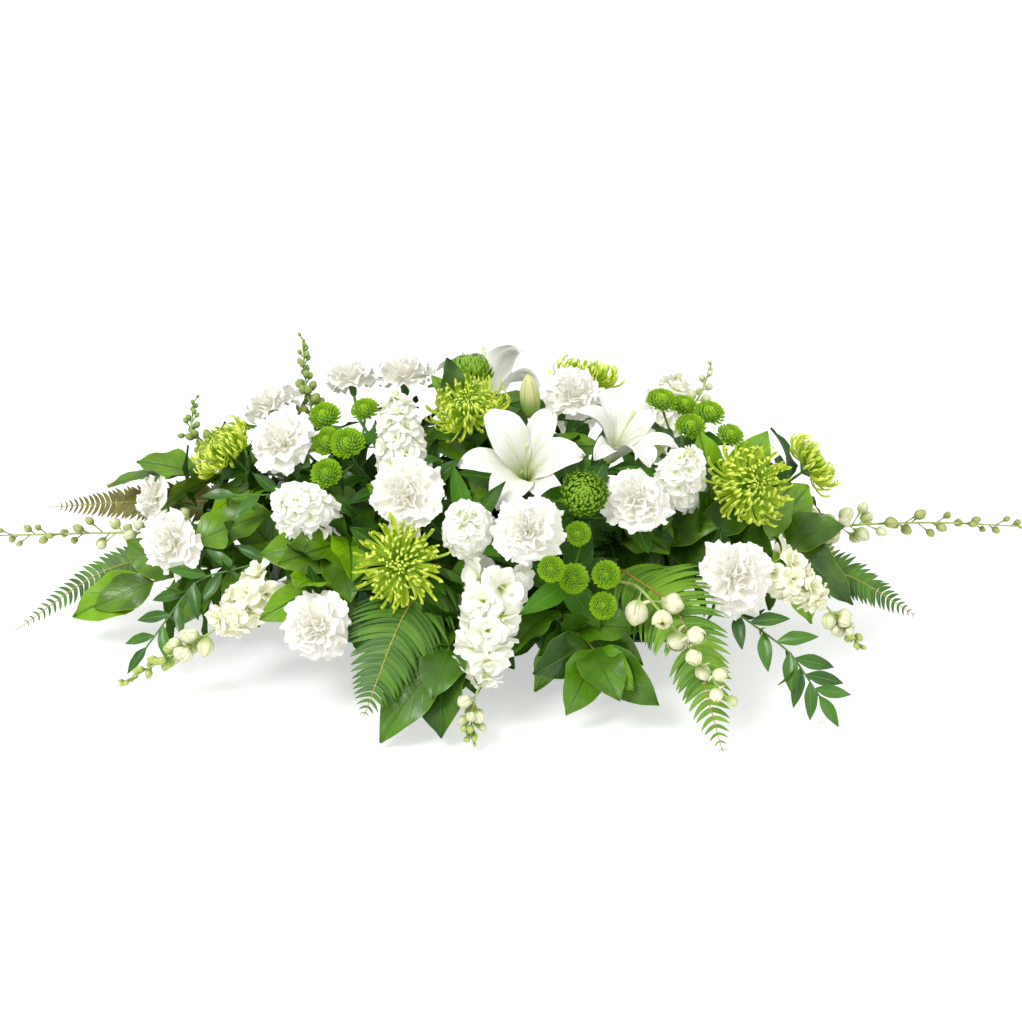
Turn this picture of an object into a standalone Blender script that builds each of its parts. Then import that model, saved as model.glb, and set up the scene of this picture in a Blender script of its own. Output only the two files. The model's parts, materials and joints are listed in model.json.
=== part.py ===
"""A casket spray: white and green cut flowers and foliage in wet foam, held by a plastic casket saddle.

Metres, +Z up. The origin is the centre of the saddle's flat underside. The spray's long way is X,
and -Y is its front. Every stem stands in a plain hole in the foam. Petals, leaves and buds are placed
by rule: each takes the first of a few small turns at which it is clear of all that already stands.
"""

import math
from dataclasses import dataclass

import bmesh
import bpy
from mathutils import Matrix, Vector
from mathutils.bvhtree import BVHTree

# The saddle: a low tray with a foot flange, and two straps that hold the foam down.
TRAY_LENGTH = 0.340
TRAY_WIDTH = 0.124
TRAY_HEIGHT = 0.040
TRAY_WALL = 0.0025
TRAY_FLOOR = 0.0030
FLANGE_REACH = 0.018
FLANGE_THICKNESS = 0.0028
CORNER_RADIUS = 0.012
STRAP_WIDTH = 0.009
STRAP_OFFSET = 0.075
STRAP_THICKNESS = 0.0022

# The foam brick, standing above the tray so that stems can leave it sideways.
SEAT_GAP = 0.0003
FOAM_TOP = 0.098
FOAM_CHAMFER = 0.008
FOAM_LENGTH = TRAY_LENGTH - 2 * TRAY_WALL - 2 * SEAT_GAP
FOAM_WIDTH = TRAY_WIDTH - 2 * TRAY_WALL - 2 * SEAT_GAP
FOAM_FOOT = TRAY_FLOOR + SEAT_GAP

# How stems stand in the foam: their depth, and where their lines meet inside it.
GRIP = 0.034
ROOT_HEIGHT = 0.064
ROOT_SPREAD_X = 0.46
ROOT_SPREAD_Y = 0.20
ROOT_RISE = 0.02
STRAIGHT = 0.008
HOLE_SIDES = 4
HOLE_GAP = 0.0003
HOLE_OVERRUN = 0.014

STEM_RADIUS = 0.0022
STEM_TIP_RADIUS = 0.0016
SPIKE_TIP_RADIUS = 0.0009
LEAF_STEM_RADIUS = 0.0015
SIDE_STEM_RADIUS = 0.0013

# The mound that flowers and leaves face out from: an ellipsoid's half lengths, and its centre.
MOUND = Vector((0.46, 0.27, 0.25))
MOUND_CENTRE = Vector((0, 0.06, 0))

# Clear space round each piece, and above the surface that the spray stands on.
CLEARANCE = 0.0004
FLOOR_CLEARANCE = 0.0015

GOLDEN_ANGLE = math.radians(137.5)


@dataclass(frozen=True)
class Bloom:
    """A bloom's centre, the azimuth and elevation that it faces, its width, and its roll about its stem.

    Azimuth 0 faces the front (-Y), and 90 faces +X. Angles are in degrees.
    """

    centre: tuple
    azimuth: float
    elevation: float
    width: float
    roll: float = 0.0


@dataclass(frozen=True)
class Spike:
    """A flower spike: its axis, the share and width of its open florets, and its buds' size and stalks."""

    axis: tuple
    open_share: float
    open_width: float
    buds: int
    bud_length: float
    stalk: float


@dataclass(frozen=True)
class Frond:
    """A fern frond: its rib, its half width, its pairs of leaflets, and its roll about its rib in degrees."""

    rib: tuple
    half_width: float
    pairs: int
    roll: float = 0.0


@dataclass(frozen=True)
class LeafyStem:
    """A leafy stem: its way, leaves that reach given tips, and more leaves set along it by rule.

    `bare` is the share of the way without leaves, and `droop` the bend of a leaf in degrees.
    """

    way: tuple
    tips: tuple
    leaves: int
    length: float
    width: float
    bare: float
    droop: float


CARNATIONS = {
    "carnation_01": Bloom((-0.395, 0.000, 0.139), -75, 20, 0.050),
    "carnation_02": Bloom((-0.359, -0.120, 0.140), -45, 22, 0.068),
    "carnation_03": Bloom((-0.243, -0.070, 0.234), -30, 50, 0.070),
    "carnation_04": Bloom((-0.108, -0.172, 0.216), -12, 36, 0.074),
    "carnation_05": Bloom((-0.198, -0.245, 0.101), -28, 8, 0.072),
    "carnation_06": Bloom((0.018, -0.228, 0.202), 4, 32, 0.066),
    "carnation_07": Bloom((0.128, -0.172, 0.211), 12, 42, 0.068),
    "carnation_08": Bloom((0.068, -0.014, 0.266), 15, 66, 0.064),
    "carnation_09": Bloom((0.231, -0.198, 0.137), 26, 26, 0.078),
    "carnation_10": Bloom((-0.118, 0.050, 0.263), -165, 74, 0.064),
    "carnation_11": Bloom((-0.179, 0.090, 0.243), -160, 58, 0.054),
    "carnation_12": Bloom((-0.267, 0.060, 0.224), -120, 52, 0.060),
    "carnation_13": Bloom((0.070, 0.190, 0.165), 172, 30, 0.070),
}
SPIDER_MUMS = {
    "spider_mum_01": Bloom((-0.112, -0.226, 0.164), -8, 24, 0.094),
    "spider_mum_02": Bloom((0.250, -0.125, 0.206), 26, 34, 0.094),
    "spider_mum_03": Bloom((-0.044, -0.050, 0.262), -20, 66, 0.086),
    "spider_mum_04": Bloom((-0.312, -0.010, 0.201), -80, 50, 0.078),
    "spider_mum_05": Bloom((0.082, 0.075, 0.252), 160, 62, 0.076),
    "spider_mum_06": Bloom((0.336, 0.040, 0.160), 100, 34, 0.074),
}
GREEN_MUMS = {
    "green_mum_back": Bloom((-0.046, 0.050, 0.271), -170, 80, 0.054),
    "green_mum_front": Bloom((0.074, -0.200, 0.232), 10, 40, 0.050),
}
LILIES = {
    "lily_front": Bloom((0.016, -0.104, 0.206), -4, 48, 0.138, 6),
    "lily_right": Bloom((0.104, -0.066, 0.212), 50, 62, 0.118, 10),
    "lily_back": Bloom((-0.030, 0.106, 0.200), 178, 48, 0.130, 12),
}
LILY_BUD = (Vector((0.022, -0.040, 0.250)), Vector((0.018, -0.048, 0.302)))
LILY_BUD_WIDTH = 0.021
LILY_BUD_GRIP = 0.2

# Sprays of small button mums: each head's centre and width. The first head's stem carries the others.
BUTTON_SPRAYS = {
    "button_mums_left": (
        ((-0.172, -0.094, 0.243), 0.037),
        ((-0.200, -0.040, 0.252), 0.036),
        ((-0.156, -0.044, 0.261), 0.030),
        ((-0.195, -0.074, 0.237), 0.034),
        ((-0.194, -0.112, 0.216), 0.034),
    ),
    "button_mums_right": (
        ((0.193, -0.036, 0.238), 0.034),
        ((0.164, -0.002, 0.255), 0.034),
        ((0.216, -0.006, 0.242), 0.034),
        ((0.190, 0.020, 0.240), 0.032),
        ((0.236, -0.036, 0.228), 0.030),
    ),
    "button_mums_front": (
        ((0.063, -0.246, 0.158), 0.031),
        ((0.068, -0.212, 0.192), 0.026),
        ((0.040, -0.266, 0.178), 0.027),
        ((0.096, -0.242, 0.160), 0.029),
        ((0.093, -0.258, 0.133), 0.028),
    ),
}

SPIKES = {
    "stock_01": Spike(((-0.206, -0.134, 0.168), (-0.230, -0.184, 0.222)), 1, 0.066, 0, 0, 0),
    "stock_02": Spike(((-0.112, -0.098, 0.206), (-0.122, -0.068, 0.292)), 1, 0.058, 0, 0, 0),
    "stock_03": Spike(((-0.042, -0.186, 0.180), (-0.046, -0.238, 0.224)), 1, 0.056, 0, 0, 0),
    "stock_04": Spike(((0.170, -0.106, 0.188), (0.186, -0.146, 0.256)), 1, 0.058, 0, 0, 0),
    "stock_05": Spike(((0.160, 0.130, 0.150), (0.196, 0.170, 0.222)), 1, 0.062, 0, 0, 0),
    "snapdragon_left": Spike(
        ((-0.246, -0.180, 0.122), (-0.307, -0.220, 0.084), (-0.396, -0.236, 0.036)),
        0.50, 0.056, 11, 0.016, 0.004,
    ),
    "snapdragon_right": Spike(
        ((0.272, -0.166, 0.136), (0.324, -0.196, 0.104), (0.360, -0.214, 0.066)),
        0.55, 0.052, 9, 0.014, 0.004,
    ),
    "larkspur_left": Spike(
        ((-0.330, -0.030, 0.112), (-0.480, -0.012, 0.100), (-0.612, 0.002, 0.090)), 0, 0, 14, 0.015, 0.013
    ),
    "larkspur_right": Spike(
        ((0.320, -0.004, 0.094), (0.381, 0.004, 0.104), (0.480, 0.014, 0.102), (0.592, 0.022, 0.092)),
        0, 0, 15, 0.018, 0.013,
    ),
    "larkspur_front": Spike(
        ((-0.012, -0.200, 0.150), (-0.022, -0.286, 0.082), (-0.038, -0.306, 0.050), (-0.040, -0.320, 0.018)),
        0.62, 0.068, 9, 0.013, 0.009,
    ),
    "larkspur_over_fern": Spike(
        ((0.128, -0.222, 0.140), (0.174, -0.278, 0.104), (0.216, -0.318, 0.058)), 0, 0, 10, 0.027, 0.011
    ),
    "larkspur_back_left": Spike(
        ((-0.220, 0.062, 0.204), (-0.230, 0.088, 0.240), (-0.234, 0.110, 0.286)), 0, 0, 14, 0.013, 0.006
    ),
    "larkspur_far_left": Spike(
        ((-0.330, 0.066, 0.166), (-0.362, 0.084, 0.180), (-0.358, 0.102, 0.214)), 0, 0, 10, 0.012, 0.007
    ),
    "larkspur_back_right": Spike(
        ((0.196, 0.092, 0.196), (0.216, 0.116, 0.216), (0.228, 0.136, 0.244)), 0, 0, 10, 0.012, 0.008
    ),
}

FRONDS = {
    "fern_left_back": Frond(
        ((-0.310, 0.040, 0.116), (-0.420, 0.048, 0.112), (-0.524, 0.062, 0.099)), 0.028, 17, -40
    ),
    "fern_left_front": Frond(
        ((-0.320, -0.036, 0.094), (-0.450, -0.062, 0.084), (-0.556, -0.092, 0.016)), 0.026, 18, -20
    ),
    "fern_front_left": Frond(
        ((-0.078, -0.176, 0.140), (-0.112, -0.254, 0.112), (-0.146, -0.324, 0.044)), 0.062, 16
    ),
    "fern_front_right": Frond(
        ((0.118, -0.160, 0.126), (0.176, -0.254, 0.112), (0.213, -0.350, 0.010)), 0.056, 18
    ),
    "fern_right": Frond(
        ((0.270, -0.058, 0.080), (0.360, -0.064, 0.076), (0.440, -0.086, 0.036)), 0.036, 15
    ),
    "fern_back": Frond(
        ((0.000, 0.160, 0.126), (-0.010, 0.245, 0.104), (-0.030, 0.330, 0.040)), 0.056, 16
    ),
}

LEAFY_STEMS = {
    "salal_left": LeafyStem(
        ((-0.230, -0.070, 0.108), (-0.390, -0.086, 0.076)),
        ((-0.480, -0.100, 0.044),), 6, 0.084, 0.048, 0.05, 25,
    ),
    "salal_left_back": LeafyStem(
        ((-0.240, 0.020, 0.150), (-0.350, 0.026, 0.154)),
        ((-0.453, 0.030, 0.146), (-0.384, -0.026, 0.126)), 5, 0.086, 0.050, 0.0, 20,
    ),
    "salal_front_left": LeafyStem(
        ((-0.100, -0.080, 0.130), (-0.170, -0.150, 0.160), (-0.200, -0.200, 0.126)),
        ((-0.242, -0.192, 0.139), (-0.274, -0.230, 0.090), (-0.162, -0.236, 0.128), (-0.130, -0.150, 0.060),
         (-0.180, -0.150, 0.060), (-0.240, -0.120, 0.150)),
        7, 0.080, 0.046, 0.0, 25,
    ),
    "salal_front": LeafyStem(
        ((-0.020, -0.090, 0.090), (-0.050, -0.180, 0.100), (-0.064, -0.262, 0.084)),
        ((-0.073, -0.318, 0.014), (-0.141, -0.312, 0.012), (-0.020, -0.170, 0.030), (-0.100, -0.170, 0.030),
         (-0.130, -0.130, 0.060), (-0.020, -0.150, 0.170), (-0.090, -0.160, 0.150)),
        6, 0.080, 0.052, 0.0, 30,
    ),
    "salal_front_right": LeafyStem(
        ((0.020, -0.090, 0.080), (0.052, -0.170, 0.084), (0.088, -0.240, 0.070)),
        ((0.146, -0.302, 0.048), (0.066, -0.302, 0.036), (0.030, -0.282, 0.066), (0.108, -0.300, 0.036),
         (0.010, -0.160, 0.040), (0.120, -0.160, 0.040), (0.000, -0.170, 0.130), (0.110, -0.150, 0.140)),
        5, 0.080, 0.044, 0.0, 30,
    ),
    "salal_right": LeafyStem(
        ((0.110, -0.080, 0.130), (0.200, -0.110, 0.150), (0.290, -0.076, 0.124)),
        ((0.330, -0.030, 0.170), (0.240, -0.052, 0.226), (0.208, -0.142, 0.178), (0.370, -0.120, 0.070),
         (0.160, -0.170, 0.150), (0.330, -0.140, 0.060), (0.170, -0.150, 0.050), (0.240, -0.150, 0.070)),
        7, 0.088, 0.052, 0.0, 20,
    ),
    "salal_middle": LeafyStem(
        ((-0.010, 0.000, 0.140), (-0.020, -0.020, 0.190), (-0.060, 0.000, 0.236)),
        ((-0.060, -0.110, 0.218), (0.060, -0.050, 0.226), (0.020, 0.040, 0.258), (-0.086, 0.020, 0.276),
         (-0.030, -0.140, 0.200), (0.110, -0.020, 0.220)),
        5, 0.078, 0.046, 0.0, 20,
    ),
    "salal_back": LeafyStem(
        ((0.040, 0.090, 0.120), (-0.060, 0.190, 0.124), (-0.200, 0.210, 0.110)),
        ((0.110, 0.140, 0.110), (0.070, 0.140, 0.060), (0.120, 0.090, 0.120), (-0.080, 0.180, 0.050)),
        7, 0.086, 0.050, 0.0, 25,
    ),
    "ruscus_left": LeafyStem(
        ((-0.230, -0.110, 0.120), (-0.331, -0.142, 0.108), (-0.386, -0.176, 0.040)),
        (), 12, 0.042, 0.013, 0.15, 15,
    ),
    "ruscus_right": LeafyStem(
        ((0.200, -0.170, 0.110), (0.285, -0.240, 0.072), (0.316, -0.262, 0.030)),
        (), 11, 0.044, 0.015, 0.20, 15,
    ),
    "ruscus_middle": LeafyStem(
        ((-0.060, -0.060, 0.150), (-0.170, -0.080, 0.178), (-0.300, -0.080, 0.176)),
        (), 11, 0.044, 0.015, 0.10, 15,
    ),
}

# Frilled collars: each lobe has a notch, a lobe and a tooth, by share of the radius and by lift.
FRILL = ((0.72, -0.02), (1.0, 0.045), (0.92, -0.035))

# The kinds of rings other than collars, which have the shift of their lobes instead.
ROUND, SQUARE = "round", "square"

# A carnation's rings: radius and height as shares of its width, and their kind.
CARNATION_RINGS = (
    (0.0, -0.34, ROUND), (0.09, -0.34, SQUARE), (0.48, -0.06, 0), (0.24, 0.0, ROUND), (0.45, 0.16, 1),
    (0.18, 0.15, ROUND), (0.30, 0.33, 2), (0.0, 0.26, ROUND),
)
CARNATION_LOBES = 5

# A spike's open florets: radius as a share of the width, height as a share of the length.
SPIKE_RINGS = (
    (0.0, -0.04, ROUND), (0.09, -0.04, SQUARE), (0.44, 0.06, 0), (0.27, 0.15, ROUND), (0.52, 0.30, 1),
    (0.30, 0.40, ROUND), (0.47, 0.55, 2), (0.24, 0.66, ROUND), (0.34, 0.84, 0), (0.09, 0.92, SQUARE),
    (0.0, 0.92, ROUND),
)
SPIKE_LOBES = 5

# Rings of a spider mum, as shares of its width: tip radius and height, notch radius and height.
SPIDER_FOOT = (0.06, -0.17)
SPIDER_RINGS = (
    (0.50, -0.03, 0.15, -0.08),
    (0.14, -0.02, 0.13, -0.02),
    (0.46, 0.11, 0.12, 0.02),
    (0.10, 0.05, 0.09, 0.05),
    (0.29, 0.20, 0.07, 0.08),
    (0.0, 0.06, 0.0, 0.06),
)
SPIDER_RAYS = 12

# A lily's rings as shares of its width: radius and height on a tepal's midline, at its shoulder and at
# the notch beside it. They go up the outside to the tips, and down the inside to the throat.
LILY_FOOT, LILY_THROAT = (0.030, -0.03), (0.020, 0.10)
LILY_RINGS = (
    ((0.065, 0.10), (0.065, 0.10), (0.065, 0.10)),
    ((0.165, 0.29), (0.155, 0.29), (0.120, 0.29)),
    ((0.500, 0.33), (0.340, 0.40), (0.170, 0.35)),
    ((0.150, 0.31), (0.140, 0.31), (0.110, 0.32)),
    ((0.045, 0.12), (0.045, 0.12), (0.045, 0.12)),
)
TEPALS = 6

# Inner and outer tepals: the angle of their shoulders from the midline, and their share of the radius.
TEPAL_WHORLS = ((25, 1.0), (19, 0.94))

# A lily's pistil, as shares of its width: (out, up) at its foot and at its tip. Its radii are in metres.
PISTIL = ((0.0, 0.07), (0.015, 0.48))
PISTIL_RADII = (0.0014, 0.0022)

# The domes of green mums: segments, rings and relief of their scales.
LARGE_DOME = (14, 6, 0.06)
SMALL_DOME = (8, 4, 0.05)
DOME_FLATNESS = 0.60
DOME_DIMPLE = 0.10

# A leaf's outline: stations along it, and its width at each. Leaves under others have fewer.
FULL_OUTLINE = ((0.0, 0.0), (0.20, 0.64), (0.50, 1.0), (0.79, 0.64), (1.0, 0.0))
PLAIN_OUTLINE = ((0.0, 0.0), (0.28, 0.80), (0.66, 0.90), (1.0, 0.0))
LEAF_THICKNESS = 0.0012
LEAF_CUP = 0.25
LEAF_WAVE = 0.10
LEAF_BACK_BEND = 0.4

# Ways that a stem tries in order: slides of its root along the foam, and bends sideways and outwards.
SLIDES = (0, 0.009, -0.009, 0.018, -0.018, 0.027, -0.027, 0.036, -0.036, 0.05, -0.05)
BENDS = (
    (0, 0), (0.01, 0), (-0.01, 0), (0, 0.01), (0, -0.01), (0.02, 0), (-0.02, 0), (0.01, -0.015),
    (-0.01, -0.015), (0, -0.025), (0.03, -0.01), (-0.03, -0.01), (0.04, 0), (-0.04, 0), (0.03, -0.03),
    (-0.03, -0.03),
)

# Where a bloom's stem ends below its centre, as a share of its width, and how long its straight neck is.
CARNATION_FOOT, SPIDER_STEM_END, DOME_FOOT = 0.28, 0.12, 0.20
NECK = 0.028

# Side stems: the shares of the main stem that they try to leave it at, and how far they bow.
SIDE_SHARES = (0.45, 0.6, 0.3, 0.75, 0.15, 0.9)
SIDE_BOW = 0.006

# Turns that a leaf tries in order: spread from the stem, and lift off the mound, in degrees.
LEAF_TURNS = (
    (0, 0), (14, 6), (-14, 6), (0, 18), (0, -14), (26, 12), (-26, 12), (20, 30), (-20, 30), (0, 42),
    (34, -12), (-34, 20), (45, 25), (0, 60),
)
LEAF_SPREAD = 46
LEAF_SHARES = (1.0, 0.78)
LEAF_FOOT = 0.0004
LEAF_SHRINK = 0.25

# The steps that a stem's curve is divided into where leaves and buds are set.
CURVE_STEPS = 40

# A frond's half width along its rib, its leaflets' sweep and droop, and the shares that a leaflet tries.
FROND_FOOT, FROND_FULL = 0.6, 0.2
PINNA_SHARES = (1.0, 0.8, 0.6, 0.4, 0.2)
PINNA_SWEEP = 0.30
PINNA_DROOP = 0.14
RIB_HALF = 0.0026
RIB_THICKNESS = 0.0024
PROBE_THICKNESS = 0.0024
FROND_SHIFTS = (0, -0.004, 0.004, -0.008, 0.008, -0.012, 0.012, -0.017, -0.022)

# A stock's stem ends at this share of its head. Buds: turns that they try, their lean, taper and radius.
STOCK_STEM_END = 0.6
BUD_TURNS = (0, 20, -20, 40, -40, 60, -60, 90, -90, 130, -130, 180)
BUD_LEANS = (54, 26)
BUD_TAPER = 0.55
BUD_RADIUS = 0.42

# Finishes by plant: name, colour and roughness.
FINISHES = {
    "carnation": ("white_petals", (0.90, 0.90, 0.84), 0.7),
    "stock": ("white_petals", (0.90, 0.90, 0.84), 0.7),
    "lily": ("white_petals", (0.90, 0.90, 0.84), 0.7),
    "snapdragon": ("ivory_petals", (0.86, 0.86, 0.70), 0.6),
    "larkspur": ("pale_buds", (0.66, 0.68, 0.38), 0.6),
    "spider": ("lime_petals", (0.60, 0.70, 0.05), 0.6),
    "green": ("green_petals", (0.22, 0.45, 0.03), 0.7),
    "button": ("green_petals", (0.22, 0.45, 0.03), 0.7),
    "larkspur_front": ("white_petals", (0.90, 0.90, 0.84), 0.7),
    "fern": ("fern_leaflets", (0.09, 0.26, 0.05), 0.5),
    "salal": ("broad_leaves", (0.07, 0.22, 0.02), 0.4),
    "ruscus": ("slim_leaves", (0.03, 0.13, 0.03), 0.4),
    "saddle": ("saddle_plastic", (0.02, 0.09, 0.04), 0.4),
    "foam": ("wet_foam", (0.05, 0.16, 0.08), 0.9),
}


class Shape:
    """A closed mesh as plain points and triangles, before it becomes part of a node."""

    def __init__(self, mesh):
        """Takes a bmesh over, and frees it."""
        bmesh.ops.triangulate(mesh, faces=mesh.faces[:])
        bmesh.ops.recalc_face_normals(mesh, faces=mesh.faces[:])
        mesh.normal_update()
        mesh.verts.index_update()
        self.points = [vertex.co.copy() for vertex in mesh.verts]
        self.normals = [vertex.normal.copy() for vertex in mesh.verts]
        self.faces = [tuple(vertex.index for vertex in face.verts) for face in mesh.faces]
        mesh.free()

    def placed(self, matrix):
        """Moves the shape by a matrix without scale, and returns it."""
        turn = matrix.to_3x3()
        self.points = [matrix @ point for point in self.points]
        self.normals = [turn @ normal for normal in self.normals]
        return self

    def tree(self, foot=None):
        """The surface, swollen by the clearance, for tests against others. Faces at the foot are left out."""
        swollen = [p + n * CLEARANCE for p, n in zip(self.points, self.normals)]
        at_foot = {i for i, p in enumerate(self.points) if foot and (p - foot).length < CLEARANCE}
        return BVHTree.FromPolygons(swollen, [face for face in self.faces if not at_foot.intersection(face)])

    def lowest(self):
        return min(point.z for point in self.points)

    def mesh(self, name):
        data = bpy.data.meshes.new(name)
        data.from_pydata(self.points, [], self.faces)
        return data


class Standing:
    """All that stands so far: each node's pieces, the space that they fill, and the stems' roots."""

    def __init__(self):
        self.pieces = {}
        self.trees = []
        self.roots = []

    def is_clear(self, node, shape, through=(), foot=None):
        """Whether a shape is off the floor and touches no other node, nor its own node past its foot."""
        if shape.lowest() < FLOOR_CLEARANCE:
            return False
        tree = shape.tree()
        if any(name != node and name not in through and tree.overlap(other) for name, other in self.trees):
            return False
        if foot is None:
            return True
        tree = shape.tree(foot)
        return not any(name == node and tree.overlap(other) for name, other in self.trees)

    def keep(self, node, shape):
        self.pieces.setdefault(node, []).append(shape)
        self.trees.append((node, shape.tree()))


def facing(azimuth, elevation):
    """The direction at an azimuth round from -Y towards +X, and an elevation, in degrees."""
    a, e = math.radians(azimuth), math.radians(elevation)
    return Vector((math.sin(a) * math.cos(e), -math.cos(a) * math.cos(e), math.sin(e)))


def outward(point):
    """The mound's outward direction at a point."""
    reach = Vector(point) - MOUND_CENTRE
    return Vector([c / half**2 for c, half in zip(reach, MOUND)]).normalized()


def aimed(origin, forward, up):
    """A matrix at origin with +X forward and +Z as near to up as it can be."""
    x = forward.normalized()
    z = (up - x * up.dot(x)).normalized()
    return Matrix.Translation(origin) @ Matrix((x, z.cross(x), z)).transposed().to_4x4()


def standing_on(origin, up):
    """A matrix at origin with +Z along up, and +Y as near to the world's up as it can be."""
    z = up.normalized()
    guide = Vector((0, 0, 1)) if abs(z.z) < 0.95 else Vector((0, 1, 0))
    x = guide.cross(z).normalized()
    return Matrix.Translation(origin) @ Matrix((x, z.cross(x), z)).transposed().to_4x4()


def vectors(points):
    return [Vector(point) for point in points]


def smooth(points, count):
    """A smooth curve through points, as count + 1 points: a Catmull-Rom spline."""
    ends = [points[0] * 2 - points[1], *points, points[-1] * 2 - points[-2]]
    curve = []
    for step in range(count + 1):
        place = step / count * (len(points) - 1)
        k = min(int(place), len(points) - 2)
        t = place - k
        a, b, c, d = ends[k : k + 4]
        curve.append(
            0.5 * (2 * b + (c - a) * t + (2 * a - 5 * b + 4 * c - d) * t**2 + (3 * b - a - 3 * c + d) * t**3)
        )
    return curve


def divided(curve, count):
    """Points along the straight stretches of a curve, as count + 1 points."""
    places = [step / count * (len(curve) - 1) for step in range(count + 1)]
    starts = [min(int(place), len(curve) - 2) for place in places]
    return [curve[k].lerp(curve[k + 1], place - k) for k, place in zip(starts, places)]


def tangents(curve):
    """The direction of a curve at each of its points."""
    last = len(curve) - 1
    return [(curve[min(i + 1, last)] - curve[max(i - 1, 0)]).normalized() for i in range(last + 1)]


def tube(points, radii):
    """A closed four-sided tube along points, with a radius at each."""
    data = bpy.data.curves.new("tube", "CURVE")
    data.dimensions = "3D"
    data.bevel_depth = 1.0
    data.bevel_resolution = 0
    data.use_fill_caps = True
    spline = data.splines.new("POLY")
    spline.points.add(len(points) - 1)
    for control, point, radius in zip(spline.points, points, radii):
        control.co = (*point, 1)
        control.radius = radius
    holder = bpy.data.objects.new("tube", data)
    bpy.context.scene.collection.objects.link(holder)
    evaluated = holder.evaluated_get(bpy.context.evaluated_depsgraph_get())
    mesh = bmesh.new()
    mesh.from_mesh(evaluated.to_mesh())
    evaluated.to_mesh_clear()
    bpy.data.objects.remove(holder)
    bpy.data.curves.remove(data)
    bmesh.ops.remove_doubles(mesh, verts=mesh.verts, dist=1e-5)
    return Shape(mesh)


def ball(segments, rings, place):
    """A UV sphere whose points are moved: place(ring, segment), ring 0 being the foot and the last the top.

    Points of a ring that are placed together become one.
    """
    mesh = bmesh.new()
    bmesh.ops.create_uvsphere(mesh, u_segments=segments, v_segments=rings, radius=1)
    for vertex in mesh.verts:
        ring = round(math.acos(max(-1, min(1, -vertex.co.z))) / math.pi * rings)
        segment = round(math.atan2(vertex.co.y, vertex.co.x) / math.tau * segments) % segments
        vertex.co = place(ring, segment)
    bmesh.ops.remove_doubles(mesh, verts=mesh.verts, dist=1e-6)
    return Shape(mesh)


def blade(columns, place, thickness):
    """A blade two cells wide: place(column, side) gives its upper face, with side -1, 0 or 1.

    Both its ends are points. Its lower face has the same triangles, meets the upper one all round the
    edge, and lies a thickness below it along the rib.
    """
    mesh = bmesh.new()
    bmesh.ops.create_grid(mesh, x_segments=columns, y_segments=2, size=1)
    is_rib = mesh.verts.layers.int.new("is_rib")
    for vertex in mesh.verts:
        column, side = round((vertex.co.x + 1) / 2 * columns), round(vertex.co.y)
        vertex[is_rib] = side == 0 and 0 < column < columns
        vertex.co = place(column, side)
    bmesh.ops.remove_doubles(mesh, verts=mesh.verts, dist=1e-6)
    bmesh.ops.triangulate(mesh, faces=mesh.faces[:])
    mesh.normal_update()
    lower = bmesh.ops.duplicate(mesh, geom=mesh.verts[:] + mesh.edges[:] + mesh.faces[:])["geom"]
    for vertex in lower:
        if isinstance(vertex, bmesh.types.BMVert) and vertex[is_rib]:
            vertex.co -= vertex.normal * thickness
    bmesh.ops.reverse_faces(mesh, faces=[part for part in lower if isinstance(part, bmesh.types.BMFace)])
    bmesh.ops.remove_doubles(mesh, verts=mesh.verts, dist=1e-6)
    return Shape(mesh)


def turned(radius, height, segment, segments):
    """A point at a radius and height, a share of the way round +Z."""
    angle = math.tau * segment / segments
    return Vector((radius * math.cos(angle), radius * math.sin(angle), height))


def squared(radius, height, segment, segments):
    """A point of a ring with only four corners, as where a stem enters."""
    return turned(radius, height, round(4 * segment / segments), 4)


def bent(stations, length, start, end):
    """Points (out, up) at stations of a strip whose angle from +Z goes from start to end, in degrees."""
    out, up = 0.0, 0.0
    points = [(out, up)]
    for here, there in zip(stations, stations[1:]):
        angle = math.radians(start + (end - start) * (here + there) / 2)
        out += (there - here) * length * math.sin(angle)
        up += (there - here) * length * math.cos(angle)
        points.append((out, up))
    return points


def frilled(rings, lobes, width, length):
    """A stack of frilled collars up +Z."""
    segments = 3 * lobes

    def place(ring, segment):
        radius, height, kind = rings[ring]
        radius, height = radius * width, height * length
        if kind == SQUARE:
            return squared(radius, height, segment, segments)
        if kind != ROUND:
            share, lift = FRILL[(segment + kind) % 3]
            radius, height = radius * share, height + lift * width
        return turned(radius, height, segment, segments)

    return ball(segments, len(rings) - 1, place)


def spider_mum(width):
    """Three rings of long pointed rays about the centre, facing +Z."""
    segments = 2 * SPIDER_RAYS

    def place(ring, segment):
        if ring < 2:
            return squared(SPIDER_FOOT[0] * width * ring, SPIDER_FOOT[1] * width, segment, segments)
        tip_radius, tip_height, notch_radius, notch_height = SPIDER_RINGS[ring - 2]
        if (segment + ring // 2) % 2:
            return turned(tip_radius * width, tip_height * width, segment, segments)
        return turned(notch_radius * width, notch_height * width, segment, segments)

    return ball(segments, len(SPIDER_RINGS) + 1, place)


def scaled_dome(width, segments, rings, relief):
    """A dome of short incurved florets, raised as scales whose tips alternate from ring to ring."""

    def place(ring, segment):
        polar = math.pi * ring / rings
        tip = 1 if (ring + segment) % 2 else -1
        radius = width / 2 * (1 + (relief * tip if 0 < ring < rings else 0))
        height = -radius * DOME_FLATNESS * math.cos(polar) - (DOME_DIMPLE * width if ring == rings else 0)
        return turned(radius * math.sin(polar), height, segment, segments)

    return ball(segments, rings, place)


def bud(length, stalk, radius, sides=3):
    """A bud on its stalk, from the stem along +Z, fullest at its middle."""
    rings = ((0, 0), (0.0009, stalk), (radius, stalk + 0.55 * length), (0, stalk + length))
    return ball(sides, 3, lambda ring, segment: turned(*rings[ring], segment, sides))


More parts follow.
